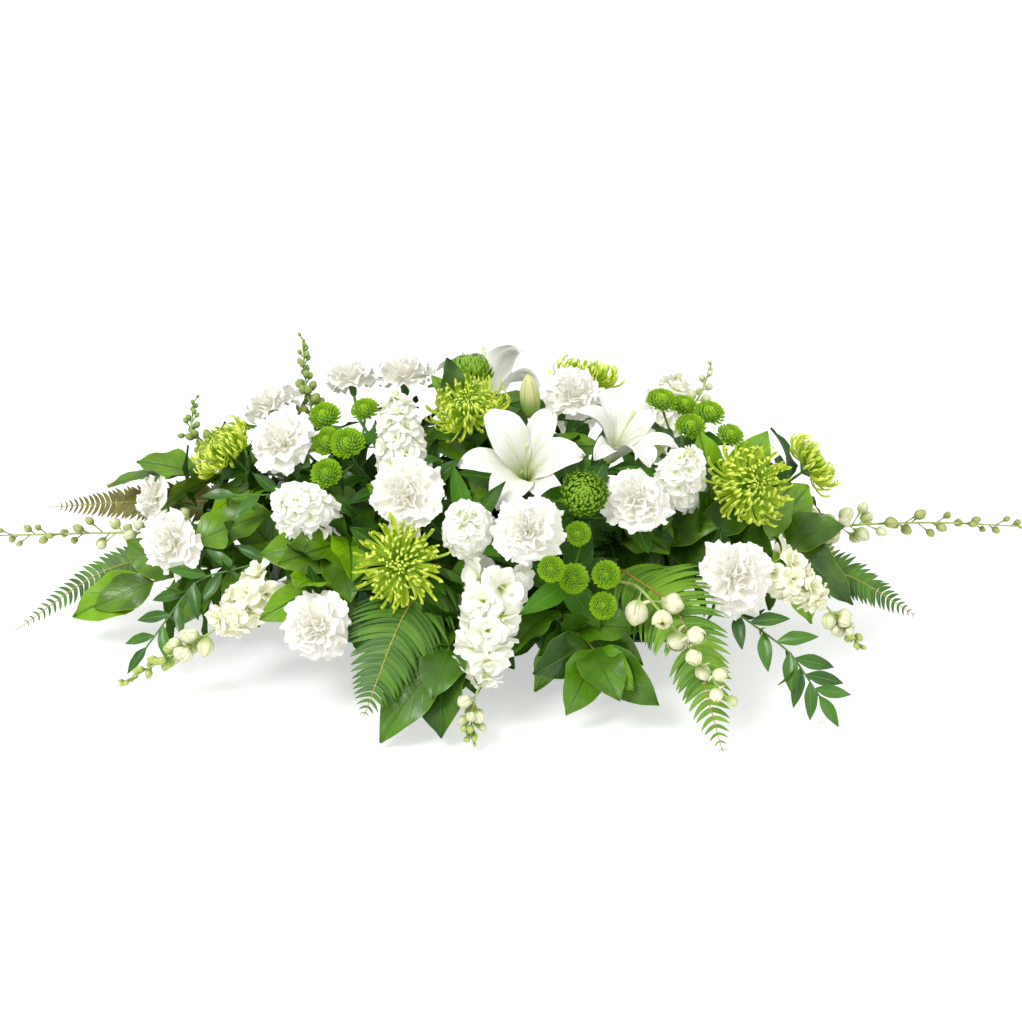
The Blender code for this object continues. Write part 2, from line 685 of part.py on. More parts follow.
def lily(width):
    """A lily from its foot, facing +Z: a trumpet that opens into six tepals, and its pistil."""
    segments = 4 * TEPALS
    last = len(LILY_RINGS) + 3

    def place(ring, segment):
        if ring < 2:
            return squared(LILY_FOOT[0] * width * ring, LILY_FOOT[1] * width, segment, segments)
        if ring > last - 2:
            return squared(LILY_THROAT[0] * width * (last - ring), LILY_THROAT[1] * width, segment, segments)
        tepal, part = divmod(segment, 4)
        shoulder, reach = TEPAL_WHORLS[tepal % 2]
        angle = tepal * 360 / TEPALS + (-180 / TEPALS, -shoulder, 0, shoulder)[part]
        radius, height = LILY_RINGS[ring - 2][(2, 1, 0, 1)[part]]
        return turned(radius * width * (reach if part else 1), height * width, angle, 360)

    pistil = [Vector((out * width, 0, up * width)) for out, up in PISTIL]
    return [ball(segments, last, place), tube(pistil, PISTIL_RADII)]


def leaf(length, width, droop, outline):
    """A leaf blade along +X, with raised and waved edges, drooping towards its tip."""
    path = bent([station for station, _ in outline], length, 90 - droop * LEAF_BACK_BEND, 90 + droop)

    def place(column, side):
        along, up = path[column]
        half = width / 2 * outline[column][1]
        wave = LEAF_WAVE * (1 if (column + (side > 0)) % 2 else -1)
        return Vector((along, side * half, up + half * abs(side) * (LEAF_CUP + wave)))

    return blade(len(outline) - 1, place, LEAF_THICKNESS)


def root_of(target, slide):
    """The way that a stem for a target leaves its root, and where it leaves the foam."""
    reach = FOAM_LENGTH / 2 - GRIP
    anchor = Vector((
        max(-reach, min(reach, target.x * ROOT_SPREAD_X)) + slide, target.y * ROOT_SPREAD_Y, ROOT_HEIGHT,
    ))
    way = (target - anchor).normalized()
    way.z = max(way.z, ROOT_RISE)
    way.normalize()
    halves = Vector((FOAM_LENGTH / 2, FOAM_WIDTH / 2, FOAM_TOP))
    steps = [(half, step, start) for half, step, start in zip(halves, way, anchor) if step]
    runs = [(math.copysign(half, step) - start) / step for half, step, start in steps]
    return way, anchor + way * min(runs)


def stem_curve(target, rest, slide, bend):
    """The points of a stem: its cut end in the foam, its straight way out, and on through the rest."""
    way, leaves_foam = root_of(target, slide)
    cut = leaves_foam - way * GRIP
    out = leaves_foam + way * STRAIGHT
    middle = [(out + rest[0]) / 2 + bend] if bend.length else []
    curve = smooth([out, *middle, *rest], len(middle) + len(rest))
    return [cut, *curve], (cut, leaves_foam)


def thinning(count, radius, end_radius):
    return [radius + (end_radius - radius) * index / (count - 1) for index in range(count)]


def stand_stem(standing, node, rest, radius, end_radius):
    """Stands a node's stem in the foam, at the first slide and bend at which it is clear.

    Returns the curve's points above the foam.
    """
    side = Vector((0, 0, 1)).cross(rest[0] - Vector((0, 0, ROOT_HEIGHT))).normalized()
    out = outward(rest[0])
    for sideways, outwards in BENDS:
        for slide in SLIDES:
            points, hole = stem_curve(rest[0], rest, slide, side * sideways + out * outwards)
            shape = tube(points, thinning(len(points), radius, end_radius))
            if standing.is_clear(node, shape, through=("foam",)):
                standing.keep(node, shape)
                standing.roots.append((*hole, radius))
                return points[1:]
    raise ValueError(f"{node}: no clear way for its stem")


def mound_frame(point, along):
    """The side and outward normal at a point of a curve."""
    normal = outward(point)
    normal = (normal - along * normal.dot(along)).normalized()
    return normal.cross(along), normal


def leaf_frame(point, along, side, turn, lift):
    """The matrix of a leaf on a stem: spread to one side, lifted from the mound."""
    across, normal = mound_frame(point, along)
    spread = math.radians((LEAF_SPREAD if side else 0) + turn)
    rise = math.radians(lift)
    forward = along * math.cos(spread) + across * math.sin(spread) * (side or 1)
    up = normal * math.cos(rise) - forward * math.sin(rise)
    return aimed(point, forward * math.cos(rise) + normal * math.sin(rise), up)


def aimed_leaf_frame(point, tip, turn, lift):
    """The matrix of a leaf whose tip is given: turned about its own line, and lifted a little."""
    forward = tip - point
    normal = mound_frame((point + tip) / 2, forward.normalized())[1]
    roll = Matrix.Rotation(math.radians(turn), 3, forward)
    return aimed(point, forward + normal * forward.length * math.radians(lift) / 2, roll @ normal)


def set_leaf(standing, node, sizes, outline, frames):
    """Sets the first leaf that is clear, out of sizes and frames in order."""
    for length, width, droop in sizes:
        for frame in frames:
            frame = frame @ Matrix.Translation((LEAF_FOOT, 0, 0))
            shape = leaf(length, width, droop, outline).placed(frame)
            if standing.is_clear(node, shape, foot=frame.translation):
                standing.keep(node, shape)
                return


def grow_leaves(standing, node, stem, curve):
    """Sets a stem's leaves: first those with given tips, then some on each side and one at its end."""
    fine = divided(curve, CURVE_STEPS)
    directions = tangents(fine)
    for tip in vectors(stem.tips):
        foot = min(fine[:-1], key=lambda point: abs((tip - point).length - stem.length))
        length = (tip - foot).length
        frames = [aimed_leaf_frame(foot, tip, turn, lift) for turn, lift in LEAF_TURNS]
        sizes = [(length * share, stem.width * share, stem.droop) for share in LEAF_SHARES]
        set_leaf(standing, node, sizes, FULL_OUTLINE, frames)
    for index in range(stem.leaves):
        share = index / (stem.leaves - 1)
        place = round((stem.bare + (1 - stem.bare) * share) * (CURVE_STEPS - 1))
        side = 0 if index == stem.leaves - 1 else (1 if index % 2 else -1)
        size = 1 - LEAF_SHRINK * abs(share - 0.4)
        frames = [leaf_frame(fine[place], directions[place], side, turn, lift) for turn, lift in LEAF_TURNS]
        sizes = [(stem.length * size * s, stem.width * size * s, stem.droop) for s in LEAF_SHARES]
        set_leaf(standing, node, sizes, PLAIN_OUTLINE, frames)


def pinna_length(share, half_width):
    """Leaflet length at a share of the rib: quickly full, then tapering to the tip."""
    if share < FROND_FULL:
        return half_width * (FROND_FOOT + (1 - FROND_FOOT) * share / FROND_FULL)
    return half_width * (1 - (share - FROND_FULL) / (1 - FROND_FULL)) ** 0.8


def frond_edge(point, along, roll, side, length):
    """A leaflet's tip at a point of the rib, or the notch between leaflets where the length is nought."""
    turn = Matrix.Rotation(math.radians(roll), 3, along)
    across, normal = (turn @ way for way in mound_frame(point, along))
    swept = (along * PINNA_SWEEP - normal * PINNA_DROOP) * length
    return point + across * side * max(length, RIB_HALF) + swept


def grow_frond(standing, node, frond, rib):
    """Cuts a frond's leaflets to its rib in one thin arched blade. A leaflet that would touch is shorter."""
    columns = 2 * frond.pairs
    roll = frond.roll
    for shift in FROND_SHIFTS:
        points = smooth([rib[0], *(point + outward(point) * shift for point in rib[1:])], columns)
        if standing.is_clear(node, tube(points, (RIB_THICKNESS,) * len(points))):
            break
    directions = tangents(points)
    lengths = {}
    for column in range(1, columns, 2):
        for side in (-1, 1):
            full = pinna_length(column / columns, frond.half_width)
            feet = [frond_edge(points[c], directions[c], roll, side, 0) for c in (column - 1, column + 1)]
            for share in PINNA_SHARES:
                lengths[column, side] = full * share
                tip = frond_edge(points[column], directions[column], roll, side, full * share)
                if standing.is_clear(node, leaflet_probe(points[column], *feet, tip)):
                    break

    def place(column, side):
        if not side or column in (0, columns):
            return points[column]
        return frond_edge(points[column], directions[column], roll, side, lengths.get((column, side), 0))

    standing.keep(node, blade(columns, place, RIB_THICKNESS))


def leaflet_probe(middle, first_foot, second_foot, tip):
    """A leaflet's own space, as a thin plate over its feet, tip and rib point."""
    mesh = bmesh.new()
    corners = [mesh.verts.new(point) for point in (middle, first_foot, tip, second_foot)]
    mesh.faces.new(corners[:3])
    mesh.faces.new((corners[0], *corners[2:]))
    bmesh.ops.solidify(mesh, geom=mesh.faces[:], thickness=PROBE_THICKNESS)
    return Shape(mesh)


def along_curve(curve, share):
    """The point and direction at a share of a curve with CURVE_STEPS steps."""
    place = round(share * CURVE_STEPS)
    return curve[place], tangents(curve)[place]


def grow_spike(standing, node, spike, curve):
    """Sets a spike's body of open florets, then its buds, round its axis by the golden angle."""
    fine = divided(curve, CURVE_STEPS)
    if spike.open_share:
        head = along_curve(fine, spike.open_share)[0] if spike.buds else Vector(spike.axis[-1])
        way = head - fine[0]
        body = frilled(SPIKE_RINGS, SPIKE_LOBES, spike.open_width, way.length)
        set_bloom(standing, node, [body], standing_on(fine[0], way))
    for index in range(spike.buds):
        step = index / spike.buds
        share = spike.open_share + (1 - spike.open_share) * (step + 0.4 / spike.buds)
        point, along = along_curve(fine, share)
        size = 1 - BUD_TAPER * step
        shape_size = (spike.bud_length * size, spike.stalk * size, spike.bud_length * size * BUD_RADIUS)
        set_bud(standing, node, shape_size, point, along, index * GOLDEN_ANGLE, step)


def set_bud(standing, node, size, point, along, angle, step):
    """Sets one bud at the first turn and lean at which it is clear."""
    for turn in BUD_TURNS:
        around = Matrix.Rotation(angle + math.radians(turn), 3, along) @ along.orthogonal().normalized()
        lean = math.radians(BUD_LEANS[0] + (BUD_LEANS[1] - BUD_LEANS[0]) * step)
        frame = standing_on(point, along * math.cos(lean) + around * math.sin(lean))
        shape = bud(*size).placed(frame)
        if standing.is_clear(node, shape, foot=point):
            standing.keep(node, shape)
            return


def set_bloom(standing, node, shapes, matrix):
    """Keeps a bloom's shapes at their place, which is chosen so that they are clear."""
    for shape in shapes:
        shape.placed(matrix)
        if not standing.is_clear(node, shape, through=("foam",)):
            raise ValueError(f"{node}: its place is not clear")
        standing.keep(node, shape)


def set_blooms(standing):
    """Sets every bloom, and returns the foot and facing of each one's stem."""
    stems = {}

    def set_one(node, bloom, shapes, foot_share):
        up = facing(bloom.azimuth, bloom.elevation)
        matrix = standing_on(Vector(bloom.centre), up) @ Matrix.Rotation(math.radians(bloom.roll), 4, "Z")
        set_bloom(standing, node, shapes, matrix)
        stems[node] = (Vector(bloom.centre) - up * foot_share * bloom.width, up)

    for node, bloom in CARNATIONS.items():
        shapes = [frilled(CARNATION_RINGS, CARNATION_LOBES, bloom.width, bloom.width)]
        set_one(node, bloom, shapes, CARNATION_FOOT)
    for node, bloom in SPIDER_MUMS.items():
        set_one(node, bloom, [spider_mum(bloom.width)], SPIDER_STEM_END)
    for node, bloom in GREEN_MUMS.items():
        set_one(node, bloom, [scaled_dome(bloom.width, *LARGE_DOME)], DOME_FOOT)
    for node, bloom in LILIES.items():
        set_one(node, bloom, lily(bloom.width), 0)
    for node, heads in BUTTON_SPRAYS.items():
        for centre, width in heads:
            centre = Vector(centre)
            shape = scaled_dome(width, *SMALL_DOME)
            set_bloom(standing, node, [shape], standing_on(centre, outward(centre)))
        stems[node] = (head_foot(*heads[0]), outward(heads[0][0]))
    foot, tip = LILY_BUD
    shape = bud((tip - foot).length, 0.001, LILY_BUD_WIDTH / 2, 6)
    set_bloom(standing, "lily_front", [shape], standing_on(foot, tip - foot))
    return stems


def head_foot(centre, width):
    """The underside of a small head that faces out from the mound."""
    return Vector(centre) - outward(centre) * DOME_FOOT * width


def join_side_stem(standing, node, curve, foot, up):
    """Joins a side head to its node's stem, as low on its curve as is clear."""
    for share in SIDE_SHARES:
        start = curve[round(share * (len(curve) - 1))]
        path = smooth([start, (start + foot) / 2 - up * SIDE_BOW, foot], 2)
        shape = tube(path, (SIDE_STEM_RADIUS,) * 3)
        if standing.is_clear(node, shape, through=("foam",)):
            standing.keep(node, shape)
            return
    raise ValueError(f"{node}: no clear way for a side stem")


def stand_stems(standing, stems):
    """Stands the stems of all blooms, spikes, fronds and leafy stems, and returns their curves."""
    curves = {}
    for node, (foot, up) in stems.items():
        curves[node] = stand_stem(standing, node, [foot - up * NECK, foot], STEM_RADIUS, STEM_TIP_RADIUS)
    for node, spike in SPIKES.items():
        axis = vectors(spike.axis)
        if not spike.buds:
            axis[-1] = axis[0].lerp(axis[-1], STOCK_STEM_END)
        curves[node] = stand_stem(standing, node, axis, STEM_RADIUS, SPIKE_TIP_RADIUS)
    for node, frond in FRONDS.items():
        rib = vectors(frond.rib)
        start = rib[0] + (rib[1] - rib[0]).normalized() * STRAIGHT
        stand_stem(standing, node, [rib[0], start], LEAF_STEM_RADIUS, LEAF_STEM_RADIUS)
    for node, stem in LEAFY_STEMS.items():
        curves[node] = stand_stem(standing, node, vectors(stem.way), LEAF_STEM_RADIUS, SPIKE_TIP_RADIUS)
    return curves


def from_point(curve, start):
    """The part of a stem's curve from the point nearest to start on."""
    nearest = min(range(len(curve)), key=lambda index: (curve[index] - Vector(start)).length)
    return curve[nearest:]


def box(name, size, centre, home):
    """A plain box object in a collection."""
    bpy.ops.mesh.primitive_cube_add(size=1, location=centre)
    made = bpy.context.active_object
    made.name = name
    made.scale = size
    bpy.ops.object.transform_apply(location=True, rotation=False, scale=True)
    return moved_to(made, home)


def moved_to(made, home):
    """Moves an object into one collection."""
    for holder in made.users_collection:
        holder.objects.unlink(made)
    home.objects.link(made)
    return made


def bevel_edges(thing, offset, segments, is_wanted):
    """Bevels those edges of an object's mesh that are wanted."""
    mesh = bmesh.new()
    mesh.from_mesh(thing.data)
    edges = [edge for edge in mesh.edges if is_wanted(*edge.verts)]
    bmesh.ops.bevel(mesh, geom=edges, offset=offset, segments=segments, affect="EDGES", profile=0.5)
    mesh.to_mesh(thing.data)
    mesh.free()


def join(thing, others, operation, solver="MANIFOLD"):
    """Joins or cuts a thing with a collection's objects, applies that, and removes them."""
    modifier = thing.modifiers.new("join", "BOOLEAN")
    modifier.operation = operation
    modifier.operand_type = "COLLECTION"
    modifier.collection = others
    modifier.solver = solver
    graph = bpy.context.evaluated_depsgraph_get()
    data = bpy.data.meshes.new_from_object(thing.evaluated_get(graph))
    thing.modifiers.clear()
    thing.data = data
    for other in list(others.objects):
        bpy.data.objects.remove(other)
    return thing


def build_saddle(spray, pieces):
    """The plastic saddle: a tray on a foot flange, with two straps over the foam."""
    flange = (TRAY_LENGTH + 2 * FLANGE_REACH, TRAY_WIDTH + 2 * FLANGE_REACH, FLANGE_THICKNESS)
    saddle = box("saddle", flange, (0, 0, FLANGE_THICKNESS / 2), spray)
    bevel_edges(saddle, CORNER_RADIUS, 3, lambda a, b: abs(a.co.z - b.co.z) > FLANGE_THICKNESS / 2)
    box("tray", (TRAY_LENGTH, TRAY_WIDTH, TRAY_HEIGHT), (0, 0, TRAY_HEIGHT / 2), pieces)
    strap_top = FOAM_TOP + SEAT_GAP + STRAP_THICKNESS
    for x in (-STRAP_OFFSET, STRAP_OFFSET):
        size = (STRAP_WIDTH, TRAY_WIDTH, strap_top - FLANGE_THICKNESS / 2)
        box("strap", size, (x, 0, strap_top - size[2] / 2), pieces)
    join(saddle, pieces, "UNION")
    inside = (FOAM_LENGTH + 2 * SEAT_GAP, FOAM_WIDTH + 2 * SEAT_GAP, FOAM_TOP + SEAT_GAP - TRAY_FLOOR)
    box("foam_space", inside, (0, 0, TRAY_FLOOR + inside[2] / 2), pieces)
    return join(saddle, pieces, "DIFFERENCE")


def build_foam(spray):
    """The foam brick, with its upper edges shaved off."""
    height = FOAM_TOP - FOAM_FOOT
    foam = box("foam", (FOAM_LENGTH, FOAM_WIDTH, height), (0, 0, FOAM_FOOT + height / 2), spray)
    bevel_edges(foam, FOAM_CHAMFER, 1, lambda a, b: min(a.co.z, b.co.z) > TRAY_HEIGHT)
    return foam


def shape_of(thing):
    """An object's mesh as a shape. The object has no transform of its own."""
    mesh = bmesh.new()
    mesh.from_mesh(thing.data)
    return Shape(mesh)


def cut_holes(foam, roots, pieces):
    """Cuts a plain hole for each stem, a little deeper and wider than the stem."""
    for cut, leaves_foam, radius in roots:
        way = (leaves_foam - cut).normalized()
        start, end = cut - way * HOLE_GAP * 2, leaves_foam + way * HOLE_OVERRUN
        bpy.ops.mesh.primitive_cylinder_add(
            vertices=HOLE_SIDES,
            radius=(radius + HOLE_GAP) / math.cos(math.pi / HOLE_SIDES),
            depth=(end - start).length,
            location=(start + end) / 2,
            rotation=way.to_track_quat("Z", "Y").to_euler(),
        )
        moved_to(bpy.context.active_object, pieces)
    return join(foam, pieces, "DIFFERENCE", "EXACT")


def fuse_node(node, shapes, spray, pieces):
    """Makes a node's object by one union of its pieces."""
    thing = bpy.data.objects.new(node, shapes[0].mesh(node))
    spray.objects.link(thing)
    for index, shape in enumerate(shapes[1:]):
        name = f"{node}_{index}"
        pieces.objects.link(bpy.data.objects.new(name, shape.mesh(name)))
    return join(thing, pieces, "UNION")


def paint(things):
    """Gives each thing its plant's finish."""
    made = {}
    for thing in things:
        plant = thing.name if thing.name in FINISHES else thing.name.split("_")[0]
        name, color, roughness = FINISHES[plant]
        if name not in made:
            made[name] = bpy.data.materials.new(name)
            made[name].use_nodes = True
            shader = made[name].node_tree.nodes["Principled BSDF"]
            shader.inputs["Base Color"].default_value = (*color, 1)
            shader.inputs["Roughness"].default_value = roughness
        thing.data.materials.clear()
        thing.data.materials.append(made[name])


def collection(name):
    made = bpy.data.collections.new(name)
    bpy.context.scene.collection.children.link(made)
    return made


def main():
    for old in list(bpy.data.objects):
        bpy.data.objects.remove(old)
    spray, pieces = collection("casket_spray"), collection("pieces")
    saddle, foam = build_saddle(spray, pieces), build_foam(spray)
    standing = Standing()
    for thing in (saddle, foam):
        standing.trees.append((thing.name, shape_of(thing).tree()))
    curves = stand_stems(standing, set_blooms(standing))
    for node, heads in BUTTON_SPRAYS.items():
        for head in heads[1:]:
            join_side_stem(standing, node, curves[node], head_foot(*head), outward(head[0]))
    foot, tip = LILY_BUD
    end = foot.lerp(tip, LILY_BUD_GRIP)
    join_side_stem(standing, "lily_front", curves["lily_front"], end, (tip - foot).normalized())
    for node, spike in SPIKES.items():
        grow_spike(standing, node, spike, from_point(curves[node], spike.axis[0]))
    for node, frond in FRONDS.items():
        grow_frond(standing, node, frond, vectors(frond.rib))
    for node, stem in LEAFY_STEMS.items():
        grow_leaves(standing, node, stem, from_point(curves[node], stem.way[0]))
    cut_holes(foam, standing.roots, pieces)
    plants = [fuse_node(node, shapes, spray, pieces) for node, shapes in standing.pieces.items()]
    paint([saddle, foam, *plants])


if __name__ == "__main__":
    main()
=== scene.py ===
"""A casket spray dressed for its photograph: each flower, frond and leaf is grown where its solid stands.

The part gives each stem, leaf, bud and leaflet the first of a few turns at which it is clear. This script
repeats those turns, and takes the one that the solid's own points show.
"""

from __future__ import annotations

import json
import logging
import math
from collections.abc import Sequence
from dataclasses import dataclass, field, replace
from enum import Enum
from typing import Any

import bpy
import numpy as np
from mathutils import Matrix, Vector
from mathutils.kdtree import KDTree

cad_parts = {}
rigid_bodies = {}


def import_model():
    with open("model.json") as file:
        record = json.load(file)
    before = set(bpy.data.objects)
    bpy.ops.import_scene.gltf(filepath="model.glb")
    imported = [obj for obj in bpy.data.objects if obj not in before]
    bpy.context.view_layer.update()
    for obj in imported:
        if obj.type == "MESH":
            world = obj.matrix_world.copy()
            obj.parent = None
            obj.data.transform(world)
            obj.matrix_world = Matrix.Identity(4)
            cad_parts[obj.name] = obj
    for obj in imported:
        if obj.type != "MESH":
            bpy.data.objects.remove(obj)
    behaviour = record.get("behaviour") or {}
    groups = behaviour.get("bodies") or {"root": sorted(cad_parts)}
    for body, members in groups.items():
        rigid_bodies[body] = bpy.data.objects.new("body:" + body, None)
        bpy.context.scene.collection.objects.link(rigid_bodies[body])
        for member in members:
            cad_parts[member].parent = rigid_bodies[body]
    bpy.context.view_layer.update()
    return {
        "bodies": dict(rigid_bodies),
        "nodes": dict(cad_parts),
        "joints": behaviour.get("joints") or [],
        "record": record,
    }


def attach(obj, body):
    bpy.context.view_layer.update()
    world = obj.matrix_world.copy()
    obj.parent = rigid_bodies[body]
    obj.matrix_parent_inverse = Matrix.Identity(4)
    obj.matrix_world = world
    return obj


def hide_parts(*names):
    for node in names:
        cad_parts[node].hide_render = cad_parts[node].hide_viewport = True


LOG = logging.getLogger("casket_spray")

Color = Place = tuple[float, float, float]
Points = Sequence[Vector]
Rows = Sequence[Sequence[float]]
Socket = bpy.types.NodeSocket

GOLDEN_ANGLE = math.radians(137.5)
UP = Vector((0, 0, 1))

# The mound that flowers and leaves face out from, the foam, and the stems' roots in it, as in the part.
MOUND = Vector((0.46, 0.27, 0.25))
MOUND_CENTRE = Vector((0, 0.06, 0))
FOAM_HALVES = Vector((0.1672, 0.0592, 0.098))
GRIP = 0.034
ROOT_HEIGHT = 0.064
ROOT_SPREAD_X = 0.46
ROOT_SPREAD_Y = 0.2
ROOT_RISE = 0.02
STRAIGHT = 0.008
NECK = 0.028
STEM_RADII = (0.0022, 0.0016)
SPIKE_RADII = (0.0022, 0.0009)
LEAF_STEM_RADII = (0.0015, 0.0009)
FROND_STALK_RADII = (0.0016, 0.0013)
RIB_RADII = (0.0014, 0.0004)
FLORET_STALK_RADII = (0.0009, 0.0012)
SIDE_STEM_RADIUS = 0.0013
SIDE_SHARES = (0.45, 0.6, 0.3, 0.75, 0.15, 0.9)
STOCK_STEM_END = 0.6
CURVE_STEPS = 40

# Slides along the foam, and bends sideways and outwards, in millimetres.
SLIDES = (0, 9, -9, 18, -18, 27, -27, 36, -36, 50, -50)
BENDS = (
    (0, 0), (10, 0), (-10, 0), (0, 10), (0, -10), (20, 0), (-20, 0), (10, -15), (-10, -15), (0, -25), (30, -10),
    (-30, -10), (40, 0), (-40, 0), (30, -30), (-30, -30),
)
BEND_FAVOUR = 1e-4

# Leaves' turns and lifts, buds' turns and leans, and leaflets' lengths.
LEAF_TURNS = (
    (0, 0), (14, 6), (-14, 6), (0, 18), (0, -14), (26, 12), (-26, 12), (20, 30), (-20, 30), (0, 42), (34, -12),
    (-34, 20), (45, 25), (0, 60),
)
LEAF_STATIONS = ((0.0, 0.2, 0.5, 0.79, 1.0), (0.0, 0.28, 0.66, 1.0))
LEAF_SHARES = (1.0, 0.78)
LEAF_SPREAD = 46
LEAF_FOOT = 0.0004
BUD_TURNS = (0, 20, -20, 40, -40, 60, -60, 90, -90, 130, -130, 180)
BUD_LEANS = (54, 26)
BUD_TAPER = 0.55
FROND_FOOT, FROND_FULL = 0.6, 0.2
FROND_SHIFTS = (0, -4, 4, -8, 8, -12, 12, -17, -22)
PINNA_SHARES = (1.0, 0.8, 0.6, 0.4, 0.2)
PINNA_SWEEP, PINNA_DROOP = 0.3, 0.14

# How near a solid's point lies to the place that a turn gives, for the turn to be the one taken.
MATCH = 0.0006

# Spare leaves: their turns round a stem, how those at the back droop, and how high they stay off the floor.
SPARE_TURNS = (0, 45, -45, 90, -90, 150)
BACK_ROW, BACK_DROOP = 0.08, 0.7
FLOOR_GAP = 0.002

# Waves along a leaf's edge, and the angle past which faces are shaded apart, as at the rims of petals.
EDGE_WAVES = 2.4
RIM_ANGLE = math.radians(100)


# Surfaces


@dataclass
class Surface:
    """Closed surfaces as arrays.

    Attributes:
        points: (n, 3) places in metres.
        quads: (m, 4) corners, facing outwards.
        triangles: (k, 3) corners of the fans that close poles.
        along: (n,) share of the way from foot to tip.
        across: (n,) share of the half width from -1 to 1, or of the way round a tube.
        tone: (n,) a draw for each petal, bud or leaf, from 0 to 1, which in a rosette also rises inwards and paints
            shade on the inner petals.
        under: (m,) 1 on the lower face of a thin leaf, and 0 elsewhere.
    """

    points: np.ndarray
    quads: np.ndarray
    triangles: np.ndarray
    along: np.ndarray
    across: np.ndarray
    tone: np.ndarray
    under: np.ndarray

    def placed(self, matrix: Matrix, scale: float = 1.0) -> Surface:
        """Returns the surface scaled about its own origin and then moved by a matrix."""
        turn = np.array(matrix.to_3x3()).T
        return replace(self, points=self.points * scale @ turn + np.array(matrix.translation))

    def toned(self, tone: float) -> Surface:
        """Returns the surface with one tone for all of it."""
        return replace(self, tone=np.full_like(self.tone, tone))

    @staticmethod
    def joined(surfaces: Sequence[Surface]) -> Surface:
        """Joins several surfaces into one, in order.

        Args:
            surfaces: to join.

        Returns:
            One surface.
        """
        starts = np.cumsum([0] + [len(s.points) for s in surfaces[:-1]])
        corners = ("quads", "triangles")
        return Surface(**{
            name: np.concatenate([vars(s)[name] + start * (name in corners) for s, start in zip(surfaces, starts)])
            for name in vars(surfaces[0])
        })


def unit(vectors: np.ndarray) -> np.ndarray:
    """Returns vectors at length 1 along their last axis."""
    return vectors / np.maximum(np.linalg.norm(vectors, axis=-1, keepdims=True), 1e-12)


def cells(index: np.ndarray, flipped: bool = False) -> np.ndarray:
    """Returns the corners of the cells of a batch of grids, from the numbers of their points."""
    corners = (index[:, :-1, :-1], index[:, 1:, :-1], index[:, 1:, 1:], index[:, :-1, 1:])
    return np.stack(corners, axis=-1).reshape(-1, 4)[:, [0, 3, 2, 1] if flipped else [0, 1, 2, 3]]


def thin_leaves(points: np.ndarray, thickness: float, tone: np.ndarray) -> Surface:
    """Closes a batch of grids into thin leaves, whose two faces meet all round their edges.

    The lower face is the upper one moved back along its normal by the thickness, but for its border. Both
    faces are cut along the same diagonals.

    Args:
        points: (leaves, rows, columns, 3) upper faces, rows running from foot to tip.
        thickness: between the faces, in metres.
        tone: (leaves,) each leaf's tone.

    Returns:
        One surface of all the leaves.
    """
    full = points.shape[:3]
    normals = unit(np.cross(np.gradient(points, axis=1), np.gradient(points, axis=2)))
    inner = np.s_[:, 1:-1, 1:-1]
    below = (points - normals * thickness)[inner]
    upper = np.arange(math.prod(full)).reshape(full)
    lower = upper.copy()
    lower[inner] = upper.size + np.arange(below[..., 0].size).reshape(below.shape[:-1])
    shares = (np.linspace(0, 1, full[1])[:, None], np.linspace(-1, 1, full[2]), tone[:, None, None])
    spread = [np.broadcast_to(share, full) for share in shares]
    faces = cells(upper)
    return Surface(
        np.concatenate([points.reshape(-1, 3), below.reshape(-1, 3)]),
        np.concatenate([faces, cells(lower, flipped=True)]),
        np.zeros((0, 3), int),
        *(np.append(values, values[inner]) for values in spread),
        np.repeat([0.0, 1.0], len(faces)),
    )


def closed_tube(rings: np.ndarray) -> Surface:
    """Closes rings into a tube with a point at the middle of each end.

    Args:
        rings: (rings, sides, 3) points, counterclockwise as seen from their far end.

    Returns:
        The tube, in a middle tone.
    """
    count, sides, _ = rings.shape
    index = np.arange(count * sides).reshape(1, count, sides)
    around = np.append(index, index[..., :1], axis=2)
    first, last = (np.full(sides, index.size + end) for end in (0, 1))
    fans = ((first, around[0, 0, 1:], index[0, 0]), (last, index[0, -1], around[0, -1, 1:]))
    quads = cells(around, flipped=True)
    return Surface(
        np.concatenate([rings.reshape(-1, 3), rings[[0, -1]].mean(axis=1)]),
        quads,
        np.concatenate([np.stack(fan, axis=-1) for fan in fans]),
        np.append(np.repeat(np.linspace(0, 1, count), sides), [0, 1]),
        np.append(np.tile(np.linspace(-1, 1, sides, endpoint=False), count), [0, 0]),
        np.full(index.size + 2, 0.5),
        np.zeros(len(quads)),
    )


def tube_along(path: np.ndarray, radii: np.ndarray, sides: int = 8) -> Surface:
    """Carries a circle along a path, square to it.

    Args:
        path: (rings, 3) points.
        radii: (rings,) the radius at each.
        sides: of the tube.

    Returns:
        A closed tube.
    """
    ways = unit(np.gradient(path, axis=0))
    guide = np.eye(3)[np.argmin(np.abs(ways).mean(axis=0))]
    side = unit(np.cross(guide, ways))
    other = np.cross(ways, side)
    angles = np.linspace(0, math.tau, sides, endpoint=False)[None, :, None]
    ring = side[:, None] * np.cos(angles) + other[:, None] * np.sin(angles)
    return closed_tube(path[:, None] + ring * radii[:, None, None])


def turned_body(profile: Rows, sides: int, ribs: int = 0, depth: float = 0.0) -> Surface:
    """Turns a profile about +Z, with lengthwise ribs: radius times 1 + depth * cos(ribs * angle).

    Args:
        profile: (radius, height) from foot to tip.
        sides: of the body.
        ribs: how many there are round it.
        depth: of a rib, as a share of the radius.

    Returns:
        A closed body.
    """
    radius, height = np.array(profile).T[..., None]
    angles = np.linspace(0, math.tau, sides, endpoint=False)[None]
    radius = radius * (1 + depth * np.cos(ribs * angles))
    return closed_tube(np.stack([radius * np.cos(angles), radius * np.sin(angles), height + 0 * angles], axis=-1))


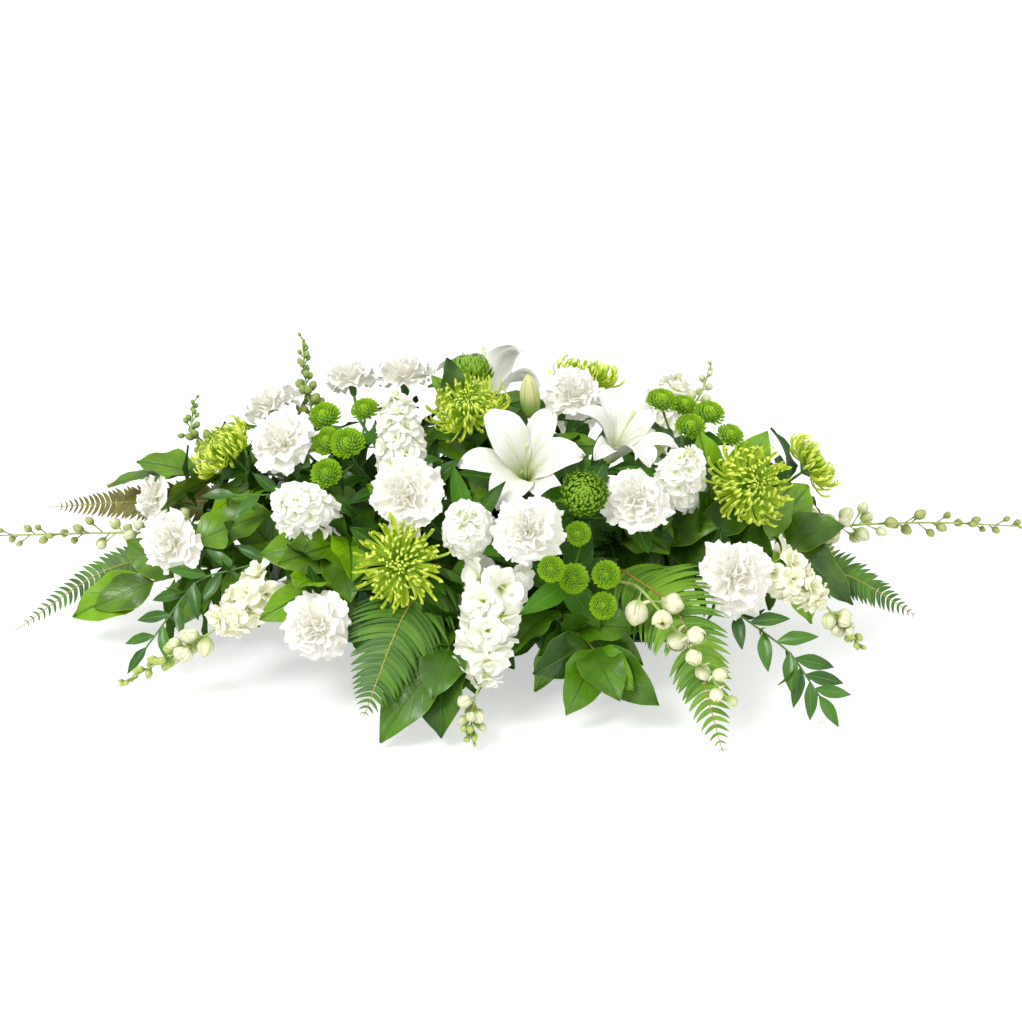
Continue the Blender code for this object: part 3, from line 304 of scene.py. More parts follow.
def radial_frame(turn: np.ndarray, radius: np.ndarray, height: np.ndarray) -> tuple[np.ndarray, ...]:
    """Sets the feet of petals round +Z.

    Args:
        turn: (n,) angles about +Z.
        radius: (n,) from it.
        height: of the feet.

    Returns:
        The feet, and their directions forward, across and along the normal.
    """
    cos, sin, zero = np.cos(turn), np.sin(turn), 0 * turn
    foot = np.stack([radius * cos, radius * sin, height + zero], axis=-1)
    ways = [np.stack(way, axis=-1) for way in ((cos, sin, zero), (-sin, cos, zero), (zero, zero, zero + 1))]
    return foot, *ways


@dataclass(frozen=True)
class PetalForm:
    """A petal's or leaf's build, in shares of its half width where nothing else is said.

    Attributes:
        rows: cells from foot to tip.
        columns: cells across.
        outline: (station, share of the half width) from foot to tip.
        cup: how far the edges curve up.
        crease: how far they rise in a straight fold.
        ruffle: height of the waves across it, as a share of the length.
        waves: how many there are.
        arc: how much shorter it is at its edges than along its middle.
        teeth: depth of the teeth at its end, as a share of the length.
        saw: depth of the teeth along its edges.
        curl: power by which its bend gathers towards the tip.
        twist: how far one edge rises over the other by the tip, at most.
        edge: height of the waves along its edges.
        thickness: in metres.
    """

    rows: int
    columns: int
    outline: Rows
    cup: float = 0.0
    crease: float = 0.0
    ruffle: float = 0.0
    waves: float = 2.0
    arc: float = 0.0
    teeth: float = 0.0
    saw: float = 0.0
    curl: float = 1.0
    twist: float = 0.0
    edge: float = 0.0
    thickness: float = 0.0005

    def grown(
        self,
        length: Sequence[float],
        width: Sequence[float],
        bend: tuple[Sequence[float], Sequence[float]],
        frame: tuple[np.ndarray, ...],
        rng: np.random.Generator,
        sway: np.ndarray | float = 0.0,
        tone: np.ndarray | None = None,
    ) -> Surface:
        """Grows a batch of petals.

        A petal follows a strip whose angle from its normal goes from start to end as start + (end -
        start) * s**curl, where s is the share of its length. Its edges lie at the half width times the
        outline, and waves, cup and crease move its points along the strip's normal.

        Args:
            length: (n,) lengths.
            width: (n,) full widths.
            bend: (n,) start and end angles in degrees.
            frame: (n, 3) feet, and the directions forward, across and along the normal.
            rng: draws the waves' phases and the tones.
            sway: how far each tip curves sideways, as a share of the length.
            tone: (n,) each petal's tone, or None to draw it.

        Returns:
            One surface of all the petals.
        """
        length, width, start, end = (np.asarray(v, float).reshape(-1, 1, 1) for v in (length, width, *bend))
        u = np.linspace(0, 1, self.rows + 1)[None, :, None]
        v = np.linspace(-1, 1, self.columns + 1)[None, None, :]
        odd_row, odd_column = (np.where(np.arange(count + 1) % 2, 1.0, -1.0) for count in (self.rows, self.columns))
        s = u * (1 - self.arc * v**2 + self.teeth * odd_column * u**2)
        angle = np.radians(start + (end - start) * s**self.curl)
        middle = (angle[:, 1:] + angle[:, :-1]) / 2
        steps = [np.cumsum(f(middle) * np.diff(s, axis=1), axis=1) for f in (np.sin, np.cos)]
        run = [np.concatenate([0 * angle[:, :1], step], axis=1) for step in steps]
        half = width / 2 * np.interp(u, *np.array(self.outline).T) * (1 + self.saw * odd_row[:, None])
        phases = rng.uniform(0, math.tau, (2, *length.shape))
        turns = self.waves * math.pi
        wave = np.sin(turns * v + phases[0]) + 0.5 * s * np.sin(1.7 * self.waves * math.pi * v + phases[1])
        twist = self.twist * rng.uniform(-1, 1, length.shape) * v * s
        margin = self.edge * v**2 * np.sin(EDGE_WAVES * math.tau * u + phases[0] + 2 * v)
        rise = self.cup * v**2 + self.crease * np.abs(v) + twist + margin
        lift = length * self.ruffle * s**2 * wave + half * rise
        out = length * run[0] - np.cos(angle) * lift
        up = length * run[1] + np.sin(angle) * lift
        foot, forward, across, normal = (np.asarray(part).reshape(-1, 1, 1, 3) for part in frame)
        side = v * half + length * np.broadcast_to(sway, len(length)).reshape(-1, 1, 1) * s**2
        points = foot + forward * out[..., None] + across * side[..., None] + normal * up[..., None]
        return thin_leaves(points, self.thickness, rng.random(len(points)) if tone is None else tone)

    def leaf(self, length: float, width: float, bend: tuple[float, float], rng: np.random.Generator) -> Surface:
        """Grows one leaf from the origin along +X, with +Z as its upper side.

        Args:
            length: of the leaf.
            width: at its widest.
            bend: start and end angles in degrees.
            rng: draws its waves and tone.

        Returns:
            The leaf.
        """
        frame = (np.zeros(3), *np.eye(3))
        end = bend[1] + rng.uniform(-6, 10)
        return self.grown([length], [width], ([bend[0]], [end]), frame, rng, rng.uniform(-0.06, 0.06))


@dataclass(frozen=True)
class RosetteForm:
    """Petals set round +Z by the golden angle, from the outermost to the innermost.

    Attributes:
        petal: their form.
        count: how many there are.
        stations: share of the way in, and there, as shares of the rosette's width: the foot's radius and
            height, start and end angle in degrees, length and width.
        spread: how much petals differ.
        lobes: how much shorter petals are between the five lobes of its outline, as a share.
        sway: how far a petal's tip curves sideways, at most, as a share of its length.
    """

    petal: PetalForm
    count: int
    stations: Rows
    spread: float = 0.2
    lobes: float = 0.0
    sway: float = 0.0

    def grown(self, width: float, seed: int) -> Surface:
        """Grows a rosette that faces +Z.

        Args:
            width: over its petals.
            seed: of its draws.

        Returns:
            Its petals.
        """
        rng = np.random.default_rng(seed)
        way_in = (np.arange(self.count) + 0.5) / self.count
        table = np.array(self.stations).T
        radius, height, start, end, length, across = (np.interp(way_in, table[0], row) for row in table[1:])
        jitter = rng.uniform(-1, 1, (4, self.count)) * self.spread
        turn = np.arange(self.count) * GOLDEN_ANGLE + jitter[0] * 0.5
        foot, *ways = radial_frame(turn, radius, height)
        bend = (start + 20 * jitter[1], end + 30 * jitter[2])
        lobes = 1 + self.lobes * (np.cos(5 * turn + rng.uniform(0, math.tau)) - 1) * (1 - way_in)
        length = width * length * (1 + 0.5 * jitter[3]) * lobes
        sway = rng.uniform(-1, 1, self.count) * self.sway
        # The tone rises inwards: the inner petals take more of the shade colour, as painted shade in the bloom's
        # hollow and partly their own deeper colour.
        tone = np.clip(0.7 * way_in + 0.5 * rng.random(self.count) - 0.1, 0, 1)
        across = width * across * (1 + 0.3 * jitter[1])
        return self.petal.grown(length, across, bend, (foot * width, *ways), rng, sway, tone)


# Petals and leaves

FAN = ((0, 0.22), (0.25, 0.34), (0.5, 0.62), (0.75, 0.9), (1, 1.0))
SPOON = ((0, 0.45), (0.3, 0.75), (0.6, 1.0), (0.85, 0.85), (1, 0.35))
QUILL = ((0, 0.6), (0.3, 0.75), (0.7, 0.9), (0.88, 1.0), (1, 0.3))
OVATE = (
    (0, 0.04), (0.04, 0.05), (0.07, 0.3), (0.14, 0.62), (0.26, 0.9), (0.4, 1.0), (0.56, 0.94), (0.72, 0.72),
    (0.86, 0.42), (0.95, 0.15), (1, 0.02),
)
LANCE = ((0, 0.1), (0.08, 0.35), (0.25, 0.85), (0.42, 1.0), (0.62, 0.86), (0.82, 0.48), (1, 0.03))
TEPAL = ((0, 0.28), (0.2, 0.42), (0.38, 0.78), (0.56, 1.0), (0.74, 0.92), (0.88, 0.6), (0.96, 0.26), (1, 0.03))
PINNA = ((0, 0.45), (0.05, 0.95), (0.14, 0.86), (0.35, 0.92), (0.6, 0.8), (0.8, 0.54), (0.93, 0.24), (1, 0.03))

CARNATION = RosetteForm(
    PetalForm(6, 16, FAN, cup=0.08, ruffle=0.13, waves=1.9, arc=0.16, teeth=0.012, twist=0.6),
    42,
    (
        (0, 0.03, -0.12, 62, 150, 0.51, 0.54), (0.2, 0.03, -0.12, 52, 106, 0.5, 0.52),
        (0.42, 0.03, -0.11, 38, 78, 0.48, 0.48), (0.65, 0.02, -0.11, 22, 50, 0.45, 0.42),
        (0.85, 0.02, -0.1, 8, 28, 0.42, 0.36), (1, 0.01, -0.08, -4, 10, 0.38, 0.3),
    ),
    0.42,
    0.08,
)
SPIDER = RosetteForm(
    PetalForm(10, 2, QUILL, cup=0.55, ruffle=0.03, waves=0.6, curl=3.4, thickness=0.0006),
    210,
    (
        (0, 0.03, -0.06, 106, 0, 0.52, 0.036), (0.35, 0.04, -0.04, 90, -60, 0.5, 0.036),
        (0.65, 0.04, -0.01, 74, -100, 0.4, 0.034), (0.85, 0.03, 0, 50, -100, 0.24, 0.032),
        (1, 0.01, 0.01, 20, -80, 0.13, 0.03),
    ),
    0.45,
    sway=0.14,
)
DISBUD = RosetteForm(
    PetalForm(5, 3, SPOON, cup=0.35, arc=0.1),
    260,
    (
        (0, 0.2, -0.22, 128, 20, 0.37, 0.11), (0.25, 0.26, -0.14, 104, -10, 0.32, 0.11),
        (0.5, 0.26, -0.03, 80, -40, 0.28, 0.1), (0.75, 0.18, 0.07, 54, -60, 0.24, 0.09),
        (1, 0.01, 0.12, 6, -60, 0.18, 0.08),
    ),
    0.3,
)
BUTTON = RosetteForm(
    PetalForm(3, 2, SPOON, cup=0.3),
    150,
    (
        (0, 0.3, -0.16, 130, 40, 0.24, 0.13), (0.2, 0.34, -0.08, 104, 20, 0.22, 0.13),
        (0.45, 0.31, 0.02, 78, 0, 0.2, 0.12), (0.7, 0.21, 0.1, 50, -20, 0.17, 0.11),
        (0.9, 0.1, 0.13, 24, -30, 0.13, 0.09), (1, 0.01, 0.13, 4, -30, 0.1, 0.08),
    ),
    0.15,
)
FLORET_PETAL = PetalForm(5, 7, FAN, cup=0.16, ruffle=0.09, waves=1.3, arc=0.3)
STOCK_FLORET = RosetteForm(
    FLORET_PETAL,
    10,
    (
        (0, 0.05, -0.16, 56, 116, 0.6, 0.7), (0.5, 0.04, -0.1, 34, 92, 0.52, 0.6),
        (1, 0.02, -0.06, 4, 40, 0.36, 0.4),
    ),
    0.35,
)
SNAPDRAGON_FLORET = RosetteForm(
    FLORET_PETAL,
    8,
    (
        (0, 0.05, -0.26, 26, 132, 0.78, 0.72), (0.6, 0.05, -0.22, 14, 90, 0.7, 0.62),
        (1, 0.02, -0.14, -6, 20, 0.44, 0.44),
    ),
    0.35,
)
HALF_OPEN = RosetteForm(
    PetalForm(6, 4, SPOON, cup=0.4, arc=0.08),
    9,
    ((0, 0.04, 0, 80, -72, 1.22, 0.84), (1, 0.02, 0.02, 60, -58, 1.1, 0.7)),
)
LILY_TEPAL = PetalForm(
    18, 12, TEPAL, cup=0.08, crease=0.14, ruffle=0.02, waves=2.4, curl=2.8, twist=0.2, edge=0.1, thickness=0.0008
)
SALAL_LEAF = PetalForm(
    13, 6, OVATE, cup=0.04, crease=0.14, ruffle=0.016, waves=1.4, twist=0.25, edge=0.17, thickness=0.0006
)
RUSCUS_LEAF = PetalForm(10, 4, LANCE, cup=0.1, crease=0.2, ruffle=0.01, waves=0.9, twist=0.5, edge=0.1)
FERN_LEAFLET = PetalForm(14, 2, PINNA, crease=-0.06, saw=0.04, thickness=0.0004)
STEM_LEAF = PetalForm(
    9, 6, LANCE, cup=0.1, crease=0.16, ruffle=0.015, waves=1.5, twist=0.5, edge=0.2, thickness=0.0004
)

# Bodies turned from (radius, height) profiles, with their sides, ribs and the ribs' depth.
MUM_BASE = (((0.02, -0.2), (0.07, -0.17), (0.15, -0.12), (0.12, -0.06), (0.02, -0.04)), 10)
CALYX = (
    ((0.018, -0.36), (0.05, -0.34), (0.072, -0.28), (0.08, -0.18), (0.092, -0.08), (0.03, -0.06)), 15, 5, 0.06
)
BUTTON_CORE = (((0.04, -0.24), (0.3, -0.2), (0.36, -0.08), (0.3, 0.06), (0.14, 0.14), (0.02, 0.15)), 12)
LILY_BUD_BODY = (
    ((0.04, 0), (0.14, 0.05), (0.17, 0.2), (0.195, 0.4), (0.19, 0.58), (0.15, 0.76), (0.09, 0.9), (0.02, 1)),
    24, 6, 0.07,
)
BUD_SHAPE = ((0.25, 0.0), (0.72, 0.16), (0.98, 0.38), (1.0, 0.56), (0.78, 0.76), (0.42, 0.92), (0.06, 1.0))


# Materials


class Graph:
    """A node tree under construction."""

    def __init__(self, tree: bpy.types.NodeTree) -> None:
        """Starts on an existing tree."""
        self.tree = tree

    def fill(self, node: bpy.types.Node, inputs: dict[str | int, Any]) -> None:
        """Links or sets a node's inputs, where three numbers stand for a colour.

        Args:
            node: to fill.
            inputs: sockets and values, by the inputs' names or numbers.
        """
        for key, value in inputs.items():
            if isinstance(value, Socket):
                self.tree.links.new(value, node.inputs[key])
            else:
                node.inputs[key].default_value = (*value, 1.0) if isinstance(value, tuple) else value

    def node(self, kind: str, inputs: dict[str | int, Any] | None = None, **settings: Any) -> bpy.types.Node:
        """Adds a node with its settings and inputs.

        Args:
            kind: of node.
            inputs: as fill takes them.
            **settings: values of the node's own.

        Returns:
            The node.
        """
        made = self.tree.nodes.new(kind)
        for name, value in settings.items():
            setattr(made, name, value)
        self.fill(made, inputs or {})
        return made

    def math(self, operation: str, *values: Any) -> Socket:
        """Returns the result of a math node."""
        return self.node("ShaderNodeMath", dict(enumerate(values)), operation=operation).outputs[0]

    def times(self, first: Any, second: Any) -> Socket:
        """Returns a product."""
        return self.math("MULTIPLY", first, second)

    def mixed(self, share: Any, first: Any, second: Any) -> Socket:
        """Returns two colours mixed."""
        return self.node("ShaderNodeMix", {0: share, 6: first, 7: second}, data_type="RGBA").outputs[2]

    def step(self, value: Any, low: float, high: float, bottom: float = 0.0, top: float = 1.0) -> Socket:
        """Returns a smooth step of a value, from bottom at low to top at high."""
        inputs = {0: value, 1: low, 2: high, 3: bottom, 4: top}
        return self.node("ShaderNodeMapRange", inputs, interpolation_type="SMOOTHSTEP").outputs[0]

    def noise(self, scale: float) -> Socket:
        """Returns noise at a scale per metre, on object coordinates."""
        place = self.node("ShaderNodeTexCoord").outputs["Object"]
        return self.node("ShaderNodeTexNoise", {"Vector": place, "Scale": scale, "Detail": 2.0}).outputs[0]

    def attribute(self, name: str) -> Socket:
        """Returns a piece's own attribute as a value."""
        return self.node("ShaderNodeAttribute", attribute_name=name).outputs["Fac"]

    def bumped(self, height: Any, strength: float, distance: float) -> Socket:
        """Returns a normal bumped by a height."""
        return self.node("ShaderNodeBump", {"Height": height, "Strength": strength, "Distance": distance}).outputs[0]

    def veins(self, kind: Effect, count: float, slant: float) -> Any:
        """Adds a vein effect on the piece's own along and across.

        Args:
            kind: of veins.
            count: of the lines.
            slant: as the effect reads it.

        Returns:
            Its outputs.
        """
        inputs = {name: self.attribute(name.lower()) for name in ("Along", "Across")}
        inputs |= {"Count": count, "Slant": slant}
        return self.node("ShaderNodeGroup", inputs, node_tree=effect(kind)).outputs


class Effect(Enum):
    """Shared effects, each a node group that gives masks."""

    LEAF_VEINS = "Leaf veins"
    PETAL_VEINS = "Petal veins"


def effect(kind: Effect) -> bpy.types.NodeTree:
    """Returns a shared effect's node group, made at its first use.

    Leaf veins give the midrib where across is near 0, and side veins where along * Count - |across| *
    Slant is near a whole number. Petal veins give fine lines that fan out from the foot.

    Args:
        kind: of effect.

    Returns:
        Its node group.
    """
    found = bpy.data.node_groups.get(kind.value)
    if found:
        return found
    tree = bpy.data.node_groups.new(kind.value, "ShaderNodeTree")
    sockets = {"INPUT": ("Along", "Across", "Count", "Slant"), "OUTPUT": ("Lines", "Middle")}
    for side, names in sockets.items():
        for name in names:
            tree.interface.new_socket(name, in_out=side, socket_type="NodeSocketFloat")
    graph = Graph(tree)
    given = graph.node("NodeGroupInput").outputs
    off_middle = graph.math("ABSOLUTE", given["Across"])
    if kind is Effect.LEAF_VEINS:
        slanted = graph.times(graph.math("POWER", off_middle, 0.8), given["Slant"])
        place = graph.math("SUBTRACT", graph.times(given["Along"], given["Count"]), slanted)
        off_line = graph.math("ABSOLUTE", graph.math("SUBTRACT", graph.math("FRACT", place), 0.5))
        lines = graph.times(graph.step(off_line, 0.1, 0.0), graph.step(off_middle, 0.6, 1.0, 1.0, 0.0))
    else:
        wobble = graph.times(graph.noise(180), given["Slant"])
        place = graph.math("ADD", graph.times(given["Across"], given["Count"]), wobble)
        lines = graph.math("MULTIPLY_ADD", graph.math("SINE", place), 0.5, 0.5)
    graph.node("NodeGroupOutput", {"Lines": lines, "Middle": graph.step(off_middle, 0.1, 0.02)})
    return tree


@dataclass(frozen=True)
class Finish:
    """A finish: a material made at its first use.

    Attributes:
        name: of the material.
        roughness: of its surface.
    """

    name: str
    roughness: float

    def material(self) -> bpy.types.Material:
        """Finds the finish's material, or makes it.

        Returns:
            The material.
        """
        found = bpy.data.materials.get(self.name)
        if found:
            return found
        made = bpy.data.materials.new(self.name)
        made.use_nodes = True
        graph = Graph(made.node_tree)
        inputs = {"Roughness": self.roughness, **self.paint(graph)}
        graph.fill(made.node_tree.nodes["Principled BSDF"], inputs)
        return made

    def paint(self, graph: Graph) -> dict[str, Any]:
        """Returns what the shader's inputs take."""
        raise NotImplementedError


@dataclass(frozen=True)
class PetalFinish(Finish):
    """Petals: a tinted foot, a pale body with fine veins and painted shade, an edge, and a painted glow.

    Attributes:
        foot: colour at the foot.
        body: colour of the blade.
        edge: colour at the end.
        shade: colour of the darker petals: where the tone rises inwards it is painted shade in the bloom's hollow,
            and partly the inner petals' own deeper colour.
        foot_end: share of the length that the foot's tint takes.
        glow: painted light: the petal gives off its own colour, as a share of it, in place of light passed on through
            a thin petal, which lifts its shade.
        veins: how many veins cross it.
        middle: how strongly the midrib has the foot's tint.
        depth: how much of the shade the innermost petals take.
    """

    foot: Color
    body: Color
    edge: Color
    shade: Color
    foot_end: float
    glow: float
    veins: float = 28.0
    middle: float = 0.0
    depth: float = 0.6

    def paint(self, graph: Graph) -> dict[str, Any]:
        """Mixes the petal's colour, glow, roughness and veins' relief.

        Args:
            graph: the material's.

        Returns:
            What the shader's inputs take.
        """
        along, tone = graph.attribute("along"), graph.attribute("tone")
        veins = graph.veins(Effect.PETAL_VEINS, self.veins, 6.0)
        # Where the tone rises inwards, as in a rosette, the inner petals take the shade colour: painted shade, and
        # partly their own deeper colour.
        blade = graph.mixed(graph.step(tone, 0.0, 1.0, 0.0, self.depth), self.body, self.shade)
        for mask, share in ((graph.noise(90), 0.35), (veins["Lines"], 0.12)):
            blade = graph.mixed(graph.times(mask, share), blade, self.shade)
        if self.middle:
            rib = graph.times(veins["Middle"], graph.step(along, 1.0, 0.3, 0.0, self.middle))
            blade = graph.mixed(rib, blade, self.foot)
        blade = graph.mixed(graph.step(along, 0.75, 1.0), blade, self.edge)
        color = graph.mixed(graph.step(along, 0.0, self.foot_end), self.foot, blade)
        return {
            "Base Color": color,
            # Painted glow: the petal gives off its own colour as light, which lifts its shade.
            "Emission Color": color,
            "Emission Strength": self.glow,
            "Normal": graph.bumped(veins["Lines"], 0.25, 0.0004),
            "Roughness": graph.step(graph.noise(400), 0.3, 0.7, self.roughness - 0.06, self.roughness + 0.08),
        }


@dataclass(frozen=True)
class LeafFinish(Finish):
    """Leaves: two greens by leaf, lighter veins in relief, a rim, and their own underside.

    Attributes:
        dark: colour of the darker leaves.
        light: colour of the lighter leaves.
        vein: colour of midrib and side veins.
        below: colour of the underside.
        rim: colour of the edge.
        veins: how many side veins there are, and 0 for lines that run lengthwise.
        relief: height of the veins in metres.
        coat: weight of the leaf's waxy coat.
        gloss: specular level of the leaf.
    """

    dark: Color
    light: Color
    vein: Color
    below: Color
    rim: Color
    veins: float
    relief: float
    coat: float
    gloss: float = 0.35

    def paint(self, graph: Graph) -> dict[str, Any]:
        """Mixes the leaf's colour, gloss and relief.

        Args:
            graph: the material's.

        Returns:
            What the shader's inputs take.
        """
        across, tone, under = (graph.attribute(name) for name in ("across", "tone", "under"))
        if self.veins:
            veins, strength = graph.veins(Effect.LEAF_VEINS, self.veins, 2.2), 0.35
        else:
            veins, strength = graph.veins(Effect.PETAL_VEINS, 18.0, 1.0), 0.15
        patches = graph.step(graph.noise(26), 0.3, 0.72, 0.0, 0.35)
        share = graph.math("ADD", graph.times(graph.math("POWER", tone, 1.4), 0.8), patches)
        blade = graph.mixed(share, self.dark, self.light)
        marked = graph.math("MAXIMUM", graph.times(veins["Lines"], strength), graph.times(veins["Middle"], 0.85))
        top = graph.mixed(marked, blade, self.vein)
        bottom = graph.mixed(marked, graph.mixed(0.35, self.below, blade), self.vein)
        color = graph.mixed(under, top, bottom)
        color = graph.mixed(graph.step(graph.math("ABSOLUTE", across), 0.93, 1.0, 0.0, 0.7), color, self.rim)
        height = graph.math("ADD", graph.times(marked, -1.0), graph.times(graph.noise(500), 0.25))
        return {
            "Base Color": color,
            "Roughness": graph.mixed(under, (self.roughness,) * 3, (self.roughness + 0.25,) * 3),
            "Specular IOR Level": self.gloss,
            "Coat Weight": self.coat,
            "Coat Roughness": 0.3,
            "Normal": graph.bumped(height, 0.6, self.relief),
        }


@dataclass(frozen=True)
class StemFinish(Finish):
    """Stems and ribs: a colour with lengthwise streaks and blotches.

    Attributes:
        dark: colour of the streaks.
        light: colour between them.
    """

    dark: Color
    light: Color

    def paint(self, graph: Graph) -> dict[str, Any]:
        """Mixes the stem's colour and fine grooves.

        Args:
            graph: the material's.

        Returns:
            What the shader's inputs take.
        """
        place = graph.math("MULTIPLY_ADD", graph.attribute("across"), 22.0, graph.times(graph.noise(40), 5.0))
        streaks = graph.math("SINE", place)
        share = graph.math("MULTIPLY_ADD", streaks, 0.25, graph.noise(120))
        color = graph.mixed(share, self.dark, self.light)
        return {"Base Color": color, "Normal": graph.bumped(streaks, 0.3, 0.0002)}


@dataclass(frozen=True)
class BudFinish(Finish):
    """Buds: a green foot that pales towards the tip, with pleats and a tinted end.

    Attributes:
        foot: colour at the stalk.
        body: colour of the bud.
        tip: colour of its end.
        plumpness: its radius as a share of its length.
        pleats: how many lines run along it.
    """

    foot: Color
    body: Color
    tip: Color
    plumpness: float = 0.42
    pleats: float = 5.0

    def paint(self, graph: Graph) -> dict[str, Any]:
        """Mixes the bud's colour and pleats.

        Args:
            graph: the material's.

        Returns:
            What the shader's inputs take.
        """
        along, across, tone = (graph.attribute(name) for name in ("along", "across", "tone"))
        lines = graph.step(graph.math("COSINE", graph.times(across, math.pi * self.pleats)), 0.8, 1.0)
        body = graph.mixed(graph.times(tone, 0.5), self.body, self.tip)
        body = graph.mixed(graph.times(graph.noise(150), 0.4), body, self.tip)
        body = graph.mixed(graph.times(lines, 0.7), body, self.foot)
        color = graph.mixed(graph.step(along, 0.3, 0.62), self.foot, body)
        color = graph.mixed(graph.step(along, 0.88, 1.0), color, self.tip)
        return {"Base Color": color, "Normal": graph.bumped(lines, 0.4, 0.0003)}


@dataclass(frozen=True)
class MouldedFinish(Finish):
    """Moulded plastic or foam: one colour with a fine grain and blotches.

    Attributes:
        dark: colour in the grain.
        light: colour of the surface.
        grain: grains to the metre.
        relief: their height in metres.
    """

    dark: Color
    light: Color
    grain: float
    relief: float

    def paint(self, graph: Graph) -> dict[str, Any]:
        """Mixes the colour, roughness and grain.

        Args:
            graph: the material's.

        Returns:
            What the shader's inputs take.
        """
        place = graph.node("ShaderNodeTexCoord").outputs["Object"]
        cells = graph.node("ShaderNodeTexVoronoi", {"Vector": place, "Scale": self.grain}).outputs["Distance"]
        share = graph.math("MULTIPLY_ADD", cells, 0.8, graph.times(graph.noise(25), 0.4))
        return {
            "Base Color": graph.mixed(share, self.dark, self.light),
            "Roughness": graph.step(graph.noise(200), 0.3, 0.7, self.roughness - 0.08, self.roughness + 0.08),
            "Normal": graph.bumped(cells, 0.5, self.relief),
        }


@dataclass(frozen=True)
class FloorFinish(Finish):
    """The floor: two pale greys in soft patches, with a little light of its own.

    Attributes:
        dark: colour of the darker patches.
        light: colour of the lighter ones.
        glow: strength of its own light.
    """

    dark: Color
    light: Color
    glow: float

    def paint(self, graph: Graph) -> dict[str, Any]:
        """Returns the floor's colour and light."""
        color = graph.mixed(graph.noise(3), self.dark, self.light)
        return {"Base Color": color, "Emission Color": (1.0, 1.0, 1.0), "Emission Strength": self.glow}


# Each petal finish's last unnamed number is its glow: painted light that lifts the petals' shade.
CARNATION_WHITE = PetalFinish(
    "carnation_white", 0.7, (0.72, 0.72, 0.44), (0.79, 0.785, 0.73), (0.81, 0.8, 0.76), (0.78, 0.76, 0.65), 0.5, 0.17
)
STOCK_WHITE = PetalFinish(
    "stock_white", 0.7, (0.56, 0.68, 0.16), (0.8, 0.8, 0.73), (0.83, 0.83, 0.79), (0.78, 0.78, 0.64), 0.5, 0.15
)
LILY_WHITE = PetalFinish(
    "lily_white", 0.5, (0.52, 0.62, 0.22), (0.78, 0.78, 0.74), (0.8, 0.8, 0.77), (0.72, 0.72, 0.64), 0.4, 0.08,
    veins=34.0, middle=0.4,
)
# The back lily's tepals face away into shade, so this copy glows more: painted light that lifts their shade.
LILY_PAINTED_GLOW = replace(LILY_WHITE, name="lily_pale", glow=0.24)
SNAPDRAGON_IVORY = PetalFinish(
    "snapdragon_ivory", 0.7, (0.62, 0.68, 0.24), (0.83, 0.82, 0.68), (0.86, 0.85, 0.76), (0.78, 0.78, 0.52), 0.5, 0.12
)
LARKSPUR_WHITE = PetalFinish(
    "larkspur_white", 0.6, (0.42, 0.52, 0.15), (0.81, 0.79, 0.6), (0.6, 0.61, 0.3), (0.66, 0.66, 0.4), 0.55, 0.07
)
SPIDER_LIME = PetalFinish(
    "spider_lime", 0.5, (0.1, 0.24, 0.01), (0.62, 0.73, 0.05), (0.76, 0.82, 0.14), (0.15, 0.33, 0.005), 0.5, 0.15,
    veins=6.0, depth=0.95,
)
DISBUD_GREEN = PetalFinish(
    "disbud_green", 0.55, (0.05, 0.15, 0.005), (0.17, 0.34, 0.012), (0.27, 0.44, 0.03), (0.13, 0.29, 0.01), 0.5, 0.1,
    veins=8.0,
)
BUTTON_LIME = PetalFinish(
    "button_lime", 0.55, (0.13, 0.3, 0.01), (0.35, 0.58, 0.02), (0.44, 0.68, 0.05), (0.26, 0.48, 0.02), 0.5, 0.14,
    veins=6.0,
)
PALE_BUD = BudFinish("pale_bud", 0.55, (0.34, 0.42, 0.11), (0.82, 0.81, 0.62), (0.52, 0.56, 0.24))
GREEN_BUD = BudFinish("green_bud", 0.55, (0.14, 0.26, 0.03), (0.56, 0.62, 0.19), (0.36, 0.46, 0.08), 0.36)
OLIVE_BUD = BudFinish("olive_bud", 0.55, (0.12, 0.19, 0.02), (0.34, 0.44, 0.12), (0.24, 0.32, 0.05), 0.36)
SAGE_BUD = BudFinish("sage_bud", 0.55, (0.16, 0.22, 0.03), (0.48, 0.52, 0.2), (0.3, 0.34, 0.08), 0.38)
LILY_BUD_GREEN = BudFinish("lily_bud", 0.5, (0.28, 0.42, 0.07), (0.8, 0.8, 0.46), (0.52, 0.55, 0.12), pleats=6.0)
FERN_GREEN = LeafFinish(
    "fern_green", 0.5, (0.018, 0.08, 0.005), (0.095, 0.235, 0.014), (0.18, 0.32, 0.04), (0.1, 0.19, 0.04),
    (0.1, 0.22, 0.03), 14.0, 0.0002, 0.05,
)
FERN_BRIGHT = LeafFinish(
    "fern_bright", 0.5, (0.045, 0.15, 0.006), (0.19, 0.38, 0.018), (0.27, 0.43, 0.05), (0.15, 0.27, 0.05),
    (0.17, 0.32, 0.03), 14.0, 0.0002, 0.05,
)
FERN_OLIVE = LeafFinish(
    "fern_olive", 0.55, (0.08, 0.085, 0.01), (0.2, 0.185, 0.025), (0.28, 0.24, 0.05), (0.16, 0.13, 0.03),
    (0.19, 0.17, 0.03), 14.0, 0.0002, 0.05,
)
SALAL_GREEN = LeafFinish(
    "salal_green", 0.34, (0.008, 0.042, 0.002), (0.2, 0.42, 0.005), (0.045, 0.135, 0.004), (0.22, 0.34, 0.02),
    (0.22, 0.38, 0.01), 6.0, 0.0012, 0.15,
)
